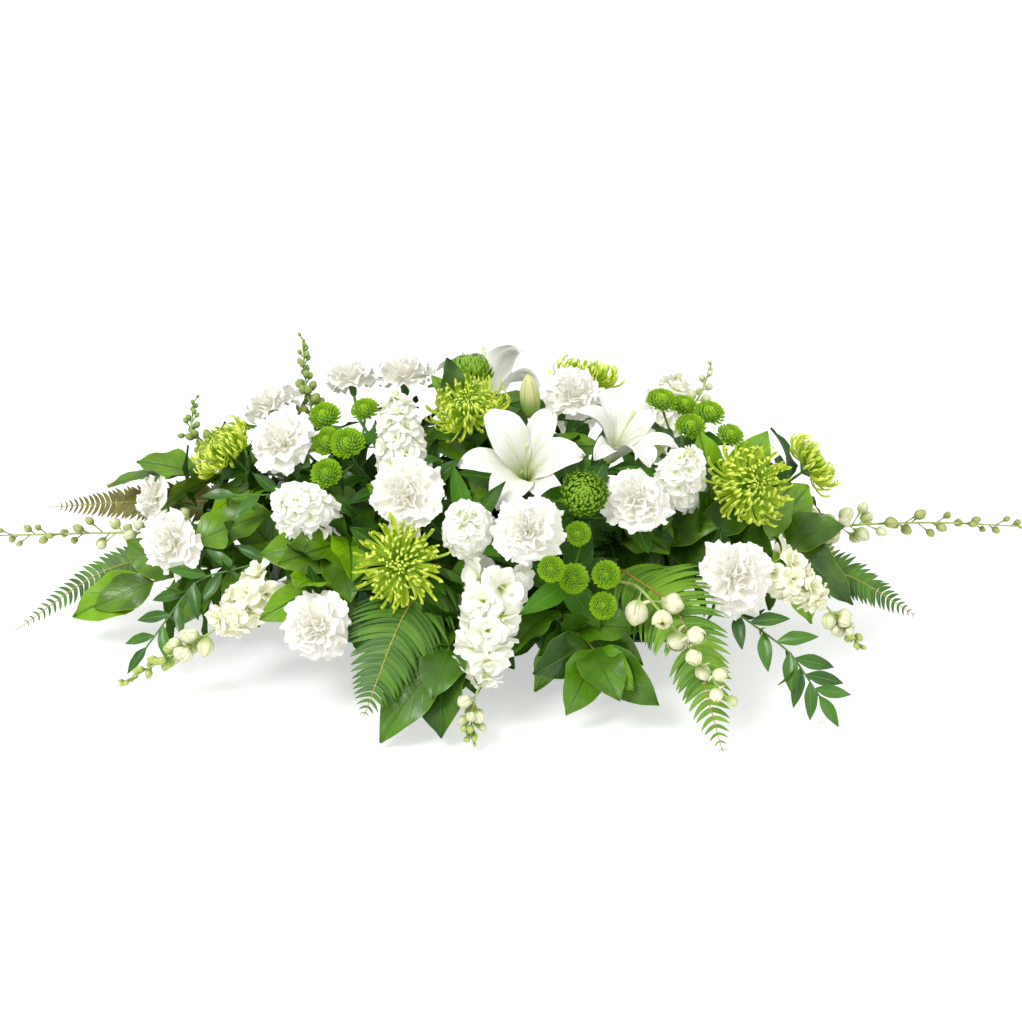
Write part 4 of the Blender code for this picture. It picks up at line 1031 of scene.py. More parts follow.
SALAL_DEEP = LeafFinish(
    "salal_deep", 0.34, (0.008, 0.045, 0.002), (0.115, 0.285, 0.006), (0.045, 0.135, 0.004), (0.14, 0.26, 0.02),
    (0.12, 0.26, 0.01), 6.0, 0.0012, 0.15,
)
RUSCUS_GREEN = LeafFinish(
    "ruscus_green", 0.34, (0.012, 0.06, 0.004), (0.075, 0.22, 0.01), (0.1, 0.26, 0.03), (0.06, 0.15, 0.04),
    (0.06, 0.17, 0.04), 0.0, 0.0003, 0.25,
)
STEM_LEAF_GREEN = LeafFinish(
    "stem_leaf_green", 0.45, (0.008, 0.04, 0.002), (0.06, 0.19, 0.006), (0.09, 0.23, 0.02), (0.07, 0.18, 0.03),
    (0.07, 0.2, 0.02), 5.0, 0.0005, 0.02, 0.2,
)
SHADED_GREEN = LeafFinish(
    "shaded_green", 0.5, (0.008, 0.034, 0.001), (0.055, 0.16, 0.003), (0.04, 0.12, 0.003), (0.06, 0.15, 0.01),
    (0.05, 0.14, 0.005), 6.0, 0.001, 0.0, 0.12,
)
STEM_GREEN = StemFinish("stem_green", 0.5, (0.05, 0.14, 0.02), (0.14, 0.3, 0.06))
PALE_STEM = StemFinish("pale_stem", 0.5, (0.24, 0.36, 0.08), (0.46, 0.58, 0.2))
LILY_HEART = StemFinish("lily_heart", 0.5, (0.52, 0.62, 0.26), (0.76, 0.8, 0.52))
WOODY_STEM = StemFinish("woody_stem", 0.6, (0.1, 0.07, 0.02), (0.22, 0.22, 0.06))
GOLDEN_RIB = StemFinish("golden_rib", 0.5, (0.28, 0.15, 0.02), (0.5, 0.34, 0.05))
GREEN_RIB = StemFinish("green_rib", 0.5, (0.22, 0.21, 0.02), (0.46, 0.42, 0.06))
SADDLE_PLASTIC = MouldedFinish("saddle_moulded", 0.42, (0.01, 0.05, 0.022), (0.024, 0.1, 0.045), 1500.0, 0.0002)
WET_FOAM = MouldedFinish("foam_cells", 0.9, (0.012, 0.05, 0.022), (0.045, 0.15, 0.07), 900.0, 0.0006)
PALE_FLOOR = FloorFinish("floor", 0.9, (0.6, 0.6, 0.6), (0.62, 0.62, 0.62), 0.52)


# Places in millimetres, as in the part

# Blooms: x, y, z, the azimuth and elevation that they face, width, and roll about their stem.
CARNATIONS = (
    (-395, 0, 139, -75, 20, 50), (-359, -120, 140, -45, 22, 68), (-243, -70, 234, -30, 50, 70),
    (-108, -172, 216, -12, 36, 74), (-198, -245, 101, -28, 8, 72), (18, -228, 202, 4, 32, 66),
    (128, -172, 211, 12, 42, 68), (68, -14, 266, 15, 66, 64), (231, -198, 137, 26, 26, 78),
    (-118, 50, 263, -165, 74, 64), (-179, 90, 243, -160, 58, 54), (-267, 60, 224, -120, 52, 60),
    (70, 190, 165, 172, 30, 70),
)
SPIDER_MUMS = (
    (-112, -226, 164, -8, 24, 94), (250, -125, 206, 26, 34, 94), (-44, -50, 262, -20, 66, 86),
    (-312, -10, 201, -80, 50, 78), (82, 75, 252, 160, 62, 76), (336, 40, 160, 100, 34, 74),
)
GREEN_MUMS = {"green_mum_back": (-46, 50, 271, -170, 80, 54), "green_mum_front": (74, -200, 232, 10, 40, 50)}
LILIES = {
    "lily_front": (16, -104, 206, -4, 48, 138, 6),
    "lily_right": (104, -66, 212, 50, 62, 118, 10),
    "lily_back": (-30, 106, 200, 178, 48, 130, 12),
}

# The lily's bud: its foot and tip, and the share of its length that its side stem reaches up into it.
LILY_BUD = ((22, -40, 250), (18, -48, 302))
LILY_BUD_GRIP = 0.2

# Sprays of small button mums: each head's x, y, z and width.
BUTTON_SPRAYS = {
    "button_mums_left": (
        (-172, -94, 243, 37), (-200, -40, 252, 36), (-156, -44, 261, 30), (-195, -74, 237, 34), (-194, -112, 216, 34),
    ),
    "button_mums_right": (
        (193, -36, 238, 34), (164, -2, 255, 34), (216, -6, 242, 34), (190, 20, 240, 32), (236, -36, 228, 30),
    ),
    "button_mums_front": (
        (63, -246, 158, 31), (68, -212, 192, 26), (40, -266, 178, 27), (96, -242, 160, 29), (93, -258, 133, 28),
    ),
}

# Spikes: axis, share and width of the open florets, and the buds' number, length and stalk.
SPIKES = {
    "stock_01": (((-206, -134, 168), (-230, -184, 222)), 1, 66, 0, 0, 0),
    "stock_02": (((-112, -98, 206), (-122, -68, 292)), 1, 58, 0, 0, 0),
    "stock_03": (((-42, -186, 180), (-46, -238, 224)), 1, 56, 0, 0, 0),
    "stock_04": (((170, -106, 188), (186, -146, 256)), 1, 58, 0, 0, 0),
    "stock_05": (((160, 130, 150), (196, 170, 222)), 1, 62, 0, 0, 0),
    "snapdragon_left": (((-246, -180, 122), (-307, -220, 84), (-396, -236, 36)), 0.5, 56, 11, 16, 4),
    "snapdragon_right": (((272, -166, 136), (324, -196, 104), (360, -214, 66)), 0.55, 52, 9, 14, 4),
    "larkspur_left": (((-330, -30, 112), (-480, -12, 100), (-612, 2, 90)), 0, 0, 14, 15, 13),
    "larkspur_right": (((320, -4, 94), (381, 4, 104), (480, 14, 102), (592, 22, 92)), 0, 0, 15, 18, 13),
    "larkspur_front": (((-12, -200, 150), (-22, -286, 82), (-38, -306, 50), (-40, -320, 18)), 0.62, 68, 9, 13, 9),
    "larkspur_over_fern": (((128, -222, 140), (174, -278, 104), (216, -318, 58)), 0, 0, 10, 27, 11),
    "larkspur_back_left": (((-220, 62, 204), (-230, 88, 240), (-234, 110, 286)), 0, 0, 14, 13, 6),
    "larkspur_far_left": (((-330, 66, 166), (-362, 84, 180), (-358, 102, 214)), 0, 0, 10, 12, 7),
    "larkspur_back_right": (((196, 92, 196), (216, 116, 216), (228, 136, 244)), 0, 0, 10, 12, 8),
}

# Fronds: rib, half width, pairs of leaflets in the part, roll in degrees, and the finishes of leaflets and rib.
FRONDS = {
    "fern_left_back": (((-310, 40, 116), (-420, 48, 112), (-524, 62, 99)), 28, 17, -40, FERN_OLIVE, GREEN_RIB),
    "fern_left_front": (((-320, -36, 94), (-450, -62, 84), (-556, -92, 16)), 26, 18, -20, FERN_GREEN, GREEN_RIB),
    "fern_front_left": (((-78, -176, 140), (-112, -254, 112), (-146, -324, 44)), 62, 16, 0, FERN_GREEN, GREEN_RIB),
    "fern_front_right": (((118, -160, 126), (176, -254, 112), (213, -350, 10)), 56, 18, 0, FERN_BRIGHT, GOLDEN_RIB),
    "fern_right": (((270, -58, 80), (360, -64, 76), (440, -86, 36)), 36, 15, 0, FERN_GREEN, GREEN_RIB),
    "fern_back": (((0, 160, 126), (-10, 245, 104), (-30, 330, 40)), 56, 16, 0, FERN_GREEN, GREEN_RIB),
}

# Leafy stems: way, given leaf tips, then the number, length and width of the leaves that are set by rule, the
# share of the way that is bare of them, and their droop in degrees.
LEAFY_STEMS = {
    "salal_left": (((-230, -70, 108), (-390, -86, 76)), ((-480, -100, 44),), 6, 84, 48, 0.05, 25),
    "salal_left_back": (((-240, 20, 150), (-350, 26, 154)), ((-453, 30, 146), (-384, -26, 126)), 5, 86, 50, 0, 20),
    "salal_front_left": (
        ((-100, -80, 130), (-170, -150, 160), (-200, -200, 126)),
        ((-242, -192, 139), (-274, -230, 90), (-162, -236, 128), (-130, -150, 60), (-180, -150, 60),
         (-240, -120, 150)),
        7, 80, 46, 0, 25,
    ),
    "salal_front": (
        ((-20, -90, 90), (-50, -180, 100), (-64, -262, 84)),
        ((-73, -318, 14), (-141, -312, 12), (-20, -170, 30), (-100, -170, 30), (-130, -130, 60), (-20, -150, 170),
         (-90, -160, 150)),
        6, 80, 52, 0, 30,
    ),
    "salal_front_right": (
        ((20, -90, 80), (52, -170, 84), (88, -240, 70)),
        ((146, -302, 48), (66, -302, 36), (30, -282, 66), (108, -300, 36), (10, -160, 40), (120, -160, 40),
         (0, -170, 130), (110, -150, 140)),
        5, 80, 44, 0, 30,
    ),
    "salal_right": (
        ((110, -80, 130), (200, -110, 150), (290, -76, 124)),
        ((330, -30, 170), (240, -52, 226), (208, -142, 178), (370, -120, 70), (160, -170, 150), (330, -140, 60),
         (170, -150, 50), (240, -150, 70)),
        7, 88, 52, 0, 20,
    ),
    "salal_middle": (
        ((-10, 0, 140), (-20, -20, 190), (-60, 0, 236)),
        ((-60, -110, 218), (60, -50, 226), (20, 40, 258), (-86, 20, 276), (-30, -140, 200), (110, -20, 220)),
        5, 78, 46, 0, 20,
    ),
    "salal_back": (
        ((40, 90, 120), (-60, 190, 124), (-200, 210, 110)),
        ((110, 140, 110), (70, 140, 60), (120, 90, 120), (-80, 180, 50)),
        7, 86, 50, 0, 25,
    ),
    "ruscus_left": (((-230, -110, 120), (-331, -142, 108), (-386, -176, 40)), (), 12, 42, 13, 0.15, 15),
    "ruscus_right": (((200, -170, 110), (285, -240, 72), (316, -262, 30)), (), 11, 44, 15, 0.2, 15),
    "ruscus_middle": (((-60, -60, 150), (-170, -80, 178), (-300, -80, 176)), (), 11, 44, 15, 0.1, 15),
}

# Broad leaves that close gaps behind heads: each one's tip and tone. They are about as long as this, in
# metres, and as wide as a share of their length.
BROAD_LENGTH, BROAD_WIDTH = 0.085, 0.58
BROAD_LEAVES = {
    "spider_mum_02": ((200, -66, 246, 0.96), (274, -72, 246, 0.8)),
    "button_mums_left": ((-166, -4, 206, 0.25), (-196, -30, 196, 0.45)),
    "carnation_02": ((-304, -52, 166, 0.4), (-262, -72, 150, 0.6)),
    "salal_front_left": ((-262, -168, 146, 0.6),),
    "salal_front_right": ((140, -208, 42, 0.55), (112, -226, 36, 0.35)),
    "carnation_04": ((-150, -120, 205, 0.85),),
}

# Each node's material slot and dress, by the first of these names that its own starts with.
LOOKS: dict[str, tuple[Any, ...]] = {
    "carnation": ("white_petals",),
    "spider_mum": ("lime_petals",),
    "green_mum": ("green_petals",),
    "button_mums": ("green_petals",),
    "lily_front": ("white_petals", LILY_BUD),
    "lily_right": ("white_petals",),
    # The lily at the back takes the copy with more painted glow.
    "lily_back": ("white_petals", (), LILY_PAINTED_GLOW),
    "stock": ("white_petals", STOCK_FLORET, STOCK_WHITE, 24, GREEN_BUD),
    "snapdragon": ("ivory_petals", SNAPDRAGON_FLORET, SNAPDRAGON_IVORY, 15, GREEN_BUD, 2),
    "larkspur_front": ("white_petals", SNAPDRAGON_FLORET, STOCK_WHITE, 20, GREEN_BUD, 1),
    "larkspur_back_left": ("pale_buds", STOCK_FLORET, STOCK_WHITE, 0, OLIVE_BUD, 1),
    "larkspur_far_left": ("pale_buds", STOCK_FLORET, STOCK_WHITE, 0, OLIVE_BUD, 1),
    "larkspur_left": ("pale_buds", STOCK_FLORET, STOCK_WHITE, 0, SAGE_BUD, 1),
    "larkspur_right": ("pale_buds", STOCK_FLORET, STOCK_WHITE, 0, SAGE_BUD, 1),
    "larkspur": ("pale_buds",),
    "fern": ("fern_leaflets",),
    "salal_front_left": ("broad_leaves",),
    "salal_front": ("broad_leaves", SALAL_LEAF, SALAL_DEEP),
    "salal": ("broad_leaves",),
    "ruscus": ("slim_leaves", RUSCUS_LEAF, RUSCUS_GREEN, STEM_GREEN, 10, 0),
}


def spot(row: Sequence[float]) -> Vector:
    """Returns the place that a row of millimetres starts with."""
    return Vector([value / 1000 for value in row[:3]])


def outward(point: Vector) -> Vector:
    """Returns the mound's outward direction at a point."""
    reach = point - MOUND_CENTRE
    return Vector([c / half**2 for c, half in zip(reach, MOUND)]).normalized()


def frame_of(origin: Vector, x: Vector, z: Vector) -> Matrix:
    """Returns a matrix at origin with given directions of +X and +Z."""
    return Matrix.Translation(origin) @ Matrix((x, z.cross(x), z)).transposed().to_4x4()


def aimed(origin: Vector, forward: Vector, up: Vector) -> Matrix:
    """Returns a matrix at origin with +X forward and +Z as near to up as it can be."""
    x = forward.normalized()
    return frame_of(origin, x, (up - x * up.dot(x)).normalized())


def standing_on(origin: Vector, up: Vector) -> Matrix:
    """Sets a frame with +Z along up, and +Y as near to the world's up as it can be.

    Args:
        origin: of the frame.
        up: its +Z.

    Returns:
        Its matrix.
    """
    z = up.normalized()
    guide = UP if abs(z.z) < 0.95 else Vector((0, 1, 0))
    return frame_of(origin, guide.cross(z).normalized(), z)


def turned(way: Vector, axis: Vector, angle: float) -> Vector:
    """Returns a direction turned about an axis."""
    return Matrix.Rotation(angle, 3, axis) @ way


def smooth(points: Points, count: int) -> list[Vector]:
    """Runs a Catmull-Rom spline through points.

    Args:
        points: that it passes.
        count: of its stretches.

    Returns:
        Its count + 1 points.
    """
    ends = [points[0] * 2 - points[1], *points, points[-1] * 2 - points[-2]]
    curve = []
    for step in range(count + 1):
        place = step / count * (len(points) - 1)
        k = min(int(place), len(points) - 2)
        t = place - k
        a, b, c, d = ends[k : k + 4]
        terms = 2 * b + (c - a) * t + (2 * a - 5 * b + 4 * c - d) * t**2 + (3 * b - a - 3 * c + d) * t**3
        curve.append(0.5 * terms)
    return curve


def divided(curve: Points, count: int = CURVE_STEPS) -> list[Vector]:
    """Divides a curve of straight stretches anew.

    Args:
        curve: to divide.
        count: of the new stretches.

    Returns:
        Its count + 1 points.
    """
    places = [step / count * (len(curve) - 1) for step in range(count + 1)]
    starts = [min(int(place), len(curve) - 2) for place in places]
    return [curve[k].lerp(curve[k + 1], place - k) for k, place in zip(starts, places)]


def tangents(curve: Points) -> list[Vector]:
    """Returns the direction of a curve at each of its points."""
    last = len(curve) - 1
    return [(curve[min(i + 1, last)] - curve[max(i - 1, 0)]).normalized() for i in range(last + 1)]


def from_nearest(curve: Points, point: Vector) -> list[Vector]:
    """Returns a curve from its point that is nearest to another, divided anew."""
    return divided(curve[min(range(len(curve)), key=lambda index: (curve[index] - point).length) :])


def mound_frame(point: Vector, along: Vector) -> tuple[Vector, Vector]:
    """Finds a curve's side and outward normal.

    Args:
        point: of the curve.
        along: its direction there.

    Returns:
        The directions across and outward.
    """
    normal = outward(point)
    normal = (normal - along * normal.dot(along)).normalized()
    return normal.cross(along), normal


def end_of_leaf(stations: Sequence[float], length: float, start: float, end: float) -> Vector:
    """Finds a part's leaf's tip: the end of a strip bent from start to end degrees.

    Args:
        stations: shares of its length, between which it is straight.
        length: of the leaf.
        start: its angle from the normal at the foot.
        end: the same at the tip.

    Returns:
        The tip in the leaf's own frame.
    """
    out, up = 0.0, 0.0
    for here, there in zip(stations, stations[1:]):
        angle = math.radians(start + (end - start) * (here + there) / 2)
        out += (there - here) * length * math.sin(angle)
        up += (there - here) * length * math.cos(angle)
    return Vector((out, 0.0, up))


class Solid:
    """A node's solid, asked which of the part's turns it shows."""

    def __init__(self, mesh: bpy.types.Mesh) -> None:
        """Reads the solid's points once.

        Args:
            mesh: the CAD node's.
        """
        flat = np.zeros(len(mesh.vertices) * 3, np.float32)
        mesh.vertices.foreach_get("co", flat)
        points = np.unique(flat.reshape(-1, 3).round(6), axis=0)
        self.tree = KDTree(len(points))
        for index, point in enumerate(points):
            self.tree.insert(point, index)
        self.tree.balance()

    def miss(self, point: Vector) -> float:
        """Returns how far a point lies from the solid's nearest point."""
        return self.tree.find(point)[2]

    def ring_miss(self, centre: Vector) -> float:
        """Returns how far a stem's point lies from the middle of the four solid points nearest to it."""
        ring = [found[0] for found in self.tree.find_n(centre, 4)]
        return (sum(ring, Vector()) / 4 - centre).length

    def stem(self, rest: Points) -> list[Vector]:
        """Returns the points of a stem that goes on through rest, from its cut end in the foam.

        Args:
            rest: the stem's points past its straight way out of the foam.

        Returns:
            The curve of the slide and bend that the solid shows.
        """
        side = UP.cross(rest[0] - UP * ROOT_HEIGHT).normalized()
        out = outward(rest[0])
        best, least = None, math.inf
        for sideways, outwards in BENDS:
            bend = side * (sideways / 1000) + out * (outwards / 1000)
            for slide in SLIDES:
                way, leaves_foam = self.root_of(rest[0], slide / 1000)
                start = leaves_foam + way * STRAIGHT
                middle = [(start + rest[0]) / 2 + bend] if bend.length else []
                curve = smooth([start, *middle, *rest], len(middle) + len(rest))
                keys = [leaves_foam - way * GRIP, *curve[: len(middle) + 1]]
                miss = sum(self.ring_miss(key) for key in keys) / len(keys) - BEND_FAVOUR * len(middle)
                if miss < least:
                    best, least = [keys[0], *curve], miss
        if least > MATCH:
            LOG.warning("a stem is %.1f mm off its solid", least * 1000)
        return best

    @staticmethod
    def root_of(target: Vector, slide: float) -> tuple[Vector, Vector]:
        """Finds how a stem leaves its root.

        Args:
            target: the first point that it reaches.
            slide: of its root along the foam.

        Returns:
            Its way, and where it leaves the foam.
        """
        reach = FOAM_HALVES.x - GRIP
        x = max(-reach, min(reach, target.x * ROOT_SPREAD_X)) + slide
        anchor = Vector((x, target.y * ROOT_SPREAD_Y, ROOT_HEIGHT))
        way = (target - anchor).normalized()
        way.z = max(way.z, ROOT_RISE)
        way.normalize()
        sides = [side for side in zip(FOAM_HALVES, way, anchor) if side[1]]
        run = min((math.copysign(half, step) - start) / step for half, step, start in sides)
        return way, anchor + way * run


# The spray's plants


@dataclass
class Plant:
    """One node's plant: its stem and what grows on it, gathered as surfaces with their finishes.

    Attributes:
        node: the CAD node that it stands for.
        solid: that node's solid.
        slot: the record's material slot of its bloom or leaves; not used.
        leaves: its flower stem's own leaves: their number, length and width.
        parts: its surfaces and their finishes so far.
        others: centres and radii of the other plants' heads.
    """

    node: str
    solid: Solid
    slot: str
    leaves: tuple[int, float, float] = field(default=(0, 0.0, 0.0), init=False)
    parts: list[tuple[Surface, Finish]] = field(default_factory=list, init=False)
    others: list[tuple[Vector, float]] = field(default_factory=list, init=False)

    @property
    def seed(self) -> int:
        """A seed of the plant's own, from its name."""
        return sum(ord(letter) * (place + 3) for place, letter in enumerate(self.node))

    @property
    def rng(self) -> np.random.Generator:
        """The plant's own draws, from the first."""
        return np.random.default_rng(self.seed)

    def heads(self) -> list[tuple[Vector, float]]:
        """Returns the centres and radii of its heads, which other plants' spare leaves keep clear of."""
        return []

    def grow(self) -> None:
        """Grows all its surfaces."""
        raise NotImplementedError

    def add(self, surface: Surface, finish: Finish) -> None:
        """Adds a surface in a finish."""
        self.parts.append((surface, finish))

    def add_stem(
        self, curve: Points, finish: Finish = STEM_GREEN, radii: tuple[float, float] = STEM_RADII
    ) -> None:
        """Adds a round stem with its corners rounded.

        Args:
            curve: of the stem.
            finish: of the stem.
            radii: at its foot and its end.
        """
        fine = np.array(divided(curve))
        for _ in range(3):
            fine[1:-1] = (fine[:-2] + 2 * fine[1:-1] + fine[2:]) / 4
        knots = 1 + 0.12 * np.cos(np.linspace(0, 6 * math.pi, len(fine))) ** 8
        self.add(tube_along(fine, np.linspace(*radii, len(fine)) * knots), finish)

    def add_side_stem(self, curve: Points, foot: Vector, up: Vector) -> None:
        """Adds a side stem from the node's stem, at the share that the solid shows.

        Args:
            curve: of the stem.
            foot: where the side stem ends.
            up: the way that it ends in.
        """

        def path(share: float) -> list[Vector]:
            """Returns the side stem's points from a share of the way along the stem."""
            start = curve[round(share * (len(curve) - 1))]
            return smooth([start, (start + foot) / 2 - up * 0.006, foot], 2)

        share = min(SIDE_SHARES, key=lambda share: self.solid.ring_miss(path(share)[1]))
        fine = np.array(smooth(path(share), 10))
        self.add(tube_along(fine, np.full(len(fine), SIDE_STEM_RADIUS)), STEM_GREEN)

    def add_spare_leaf(self, leaf: Surface, finish: Finish, point: Vector, side: Vector, along: Vector) -> None:
        """Adds a leaf beside a stem at the first of a few turns that keeps it clear of other plants' heads.

        Args:
            leaf: the leaf from the origin along +X.
            finish: its finish.
            point: where it leaves the stem.
            side: the direction that it stands off in.
            along: the stem's direction.
        """
        centres = np.array([c for c, _ in self.others] + [c + outward(c) * r * 1.1 for c, r in self.others])
        radii = np.array([radius for _, radius in self.others] * 2)
        for turn in SPARE_TURNS:
            forward = turned(side.normalized(), along, math.radians(turn)) + along * 0.6
            placed = leaf.placed(aimed(point, forward, along))
            gaps = np.linalg.norm(placed.points[::5, None] - centres, axis=-1) - radii
            if gaps.min() > 0 and placed.points[:, 2].min() > FLOOR_GAP:
                self.add(placed, finish)
                return

    def add_broad_leaves(self, curve: Points) -> None:
        """Adds the leaves whose tips and tones are given, facing out from the mound.

        Args:
            curve: of the stem.
        """
        fine = divided(curve)
        rng = self.rng
        for row in BROAD_LEAVES.get(self.node, ()):
            tip = spot(row)
            foot = min(fine[8:-2], key=lambda point: abs((tip - point).length - BROAD_LENGTH))
            length = (tip - foot).length
            leaf = SALAL_LEAF.leaf(length, length * BROAD_WIDTH, (82, 108), rng).toned(row[3])
            self.add(leaf.placed(LeafyPlant.tip_frame(foot, tip, 0, 8)), SALAL_GREEN)

    def add_stem_leaves(self, curve: Points) -> None:
        """Adds the flower stem's own leaves below its head, by turns round it.

        Args:
            curve: of the stem.
        """
        count, length, width = self.leaves
        fine = divided(curve)
        ways = tangents(fine)
        rng = self.rng
        for index in range(count):
            place = round(CURVE_STEPS * (0.24 + 0.52 * (index + 0.5) / count))
            way = ways[place]
            around = turned(way.orthogonal(), way, index * GOLDEN_ANGLE + self.seed)
            around.z -= BACK_DROOP if curve[-1].y > BACK_ROW else 0
            size = length * rng.uniform(0.8, 1.15)
            leaf = STEM_LEAF.leaf(size, width * rng.uniform(0.85, 1.1), (84, 118), rng)
            self.add_spare_leaf(leaf, STEM_LEAF_GREEN, fine[place], around, way)
        self.add_broad_leaves(curve)

    def make(self) -> bpy.types.Object:
        """Makes the plant's object, which replaces its CAD node and rides on the same body.

        Returns:
            The object.
        """
        finishes = list(dict.fromkeys(finish for _, finish in self.parts))
        whole = Surface.joined([surface for surface, _ in self.parts])
        mesh = bpy.data.meshes.new(f"{self.node}_grown")
        faces = [*whole.quads.tolist(), *whole.triangles.tolist()]
        mesh.from_pydata(whole.points.tolist(), [], faces, shade_flat=False)
        slots = [
            np.full(len(vars(surface)[kind]), finishes.index(finish), np.int32)
            for kind in ("quads", "triangles")
            for surface, finish in self.parts
        ]
        mesh.polygons.foreach_set("material_index", np.concatenate(slots))
        whole.under = np.append(whole.under, np.zeros(len(whole.triangles)))
        for name in ("along", "across", "tone", "under"):
            attribute = mesh.attributes.new(name, "FLOAT", "FACE" if name == "under" else "POINT")
            attribute.data.foreach_set("value", vars(whole)[name].astype(np.float32))
        for finish in finishes:
            mesh.materials.append(finish.material())
        mesh.update()
        mesh.set_sharp_from_angle(angle=RIM_ANGLE)
        piece = bpy.data.objects.new(f"{self.node}_grown", mesh)
        bpy.context.scene.collection.objects.link(piece)
        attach(piece, "root")
        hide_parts(self.node)
        LOG.info("%s: %d points", piece.name, len(whole.points))
        return piece


@dataclass
class BloomPlant(Plant):
    """A flower with one bloom, in millimetres and degrees.

    Attributes:
        x: the bloom's place to the right.
        y: its place away from the camera.
        z: its height.
        azimuth: that it faces, where 0 is -Y and 90 is +X.
        elevation: that it faces.
        size: its width.
        roll: its turn about its stem.
    """

    x: float
    y: float
    z: float
    azimuth: float
    elevation: float
    size: float
    roll: float = 0.0

    @property
    def centre(self) -> Vector:
        """The bloom's centre."""
        return spot((self.x, self.y, self.z))

    @property
    def width(self) -> float:
        """The bloom's width in metres."""
        return self.size / 1000

    @property
    def facing(self) -> Vector:
        """The direction that it faces."""
        a, e = math.radians(self.azimuth), math.radians(self.elevation)
        return Vector((math.sin(a) * math.cos(e), -math.cos(a) * math.cos(e), math.sin(e)))

    @property
    def matrix(self) -> Matrix:
        """The matrix that sets a bloom facing +Z in its place."""
        return standing_on(self.centre, self.facing) @ Matrix.Rotation(math.radians(self.roll), 4, "Z")


@dataclass
class RosettePlant(BloomPlant):
    """A flower whose petals are one rosette on a stem. Its own sizes are the spider mum's.

    Attributes:
        form: its rosette.
        finish: its petals' finish.
        foot_share: how far below its centre its stem ends, as a share of its width.
        base: the body under its petals, for a head of width 1.
    """

    form: RosetteForm = SPIDER
    finish: Finish = SPIDER_LIME
    foot_share: float = 0.12
    leaves: tuple[int, float, float] = field(default=(9, 0.064, 0.034), init=False)
    base: tuple[Any, ...] = MUM_BASE

    def heads(self) -> list[tuple[Vector, float]]:
        """Returns the head's centre and radius."""
        return [(self.centre, self.width * 0.46)]

    def grow(self) -> None:
        """Grows the head, its green base and its stem."""
        foot = self.centre - self.facing * self.foot_share * self.width
        curve = self.solid.stem([foot - self.facing * NECK, foot])
        self.add(self.form.grown(self.width, self.seed).placed(self.matrix), self.finish)
        self.add(turned_body(*self.base).placed(self.matrix, self.width), STEM_GREEN)
        self.add_stem(curve)
        self.add_stem_leaves(curve)


@dataclass
class GreenMumPlant(RosettePlant):
    """A green disbud mum."""

    form: RosetteForm = DISBUD
    finish: Finish = DISBUD_GREEN
    foot_share: float = 0.2


@dataclass
class CarnationPlant(RosettePlant):
    """A carnation, with its long, pleated calyx."""

    form: RosetteForm = CARNATION
    finish: Finish = CARNATION_WHITE
    foot_share: float = 0.28
    leaves: tuple[int, float, float] = field(default=(8, 0.066, 0.028), init=False)
    base: tuple[Any, ...] = CALYX


@dataclass
class ButtonSprayPlant(Plant):
    """A spray of small button heads: the first head's stem carries the others.

    Attributes:
        rows: each head's centre and width, in millimetres.
    """

    rows: Rows
    leaves: tuple[int, float, float] = field(default=(8, 0.062, 0.03), init=False)

    def heads(self) -> list[tuple[Vector, float]]:
        """Returns the heads' centres and radii."""
        return [(spot(row), row[3] / 1000 / 2) for row in self.rows]

    def grow(self) -> None:
        """Grows every head, the stem and the side stems."""
        feet = [spot(row) - outward(spot(row)) * 0.2 * (row[3] / 1000) for row in self.rows]
        curve = self.solid.stem([feet[0] - outward(spot(self.rows[0])) * NECK, feet[0]])
        self.add_stem(curve)
        self.add_stem_leaves(curve)
        for index, (row, foot) in enumerate(zip(self.rows, feet)):
            centre, width = spot(row), row[3] / 1000
            matrix = standing_on(centre, outward(centre))
            self.add(BUTTON.grown(width, self.seed + index).placed(matrix), BUTTON_LIME)
            self.add(turned_body(*BUTTON_CORE).placed(matrix, width), STEM_GREEN)
            if index:
                self.add_side_stem(curve[1:], foot, outward(centre))


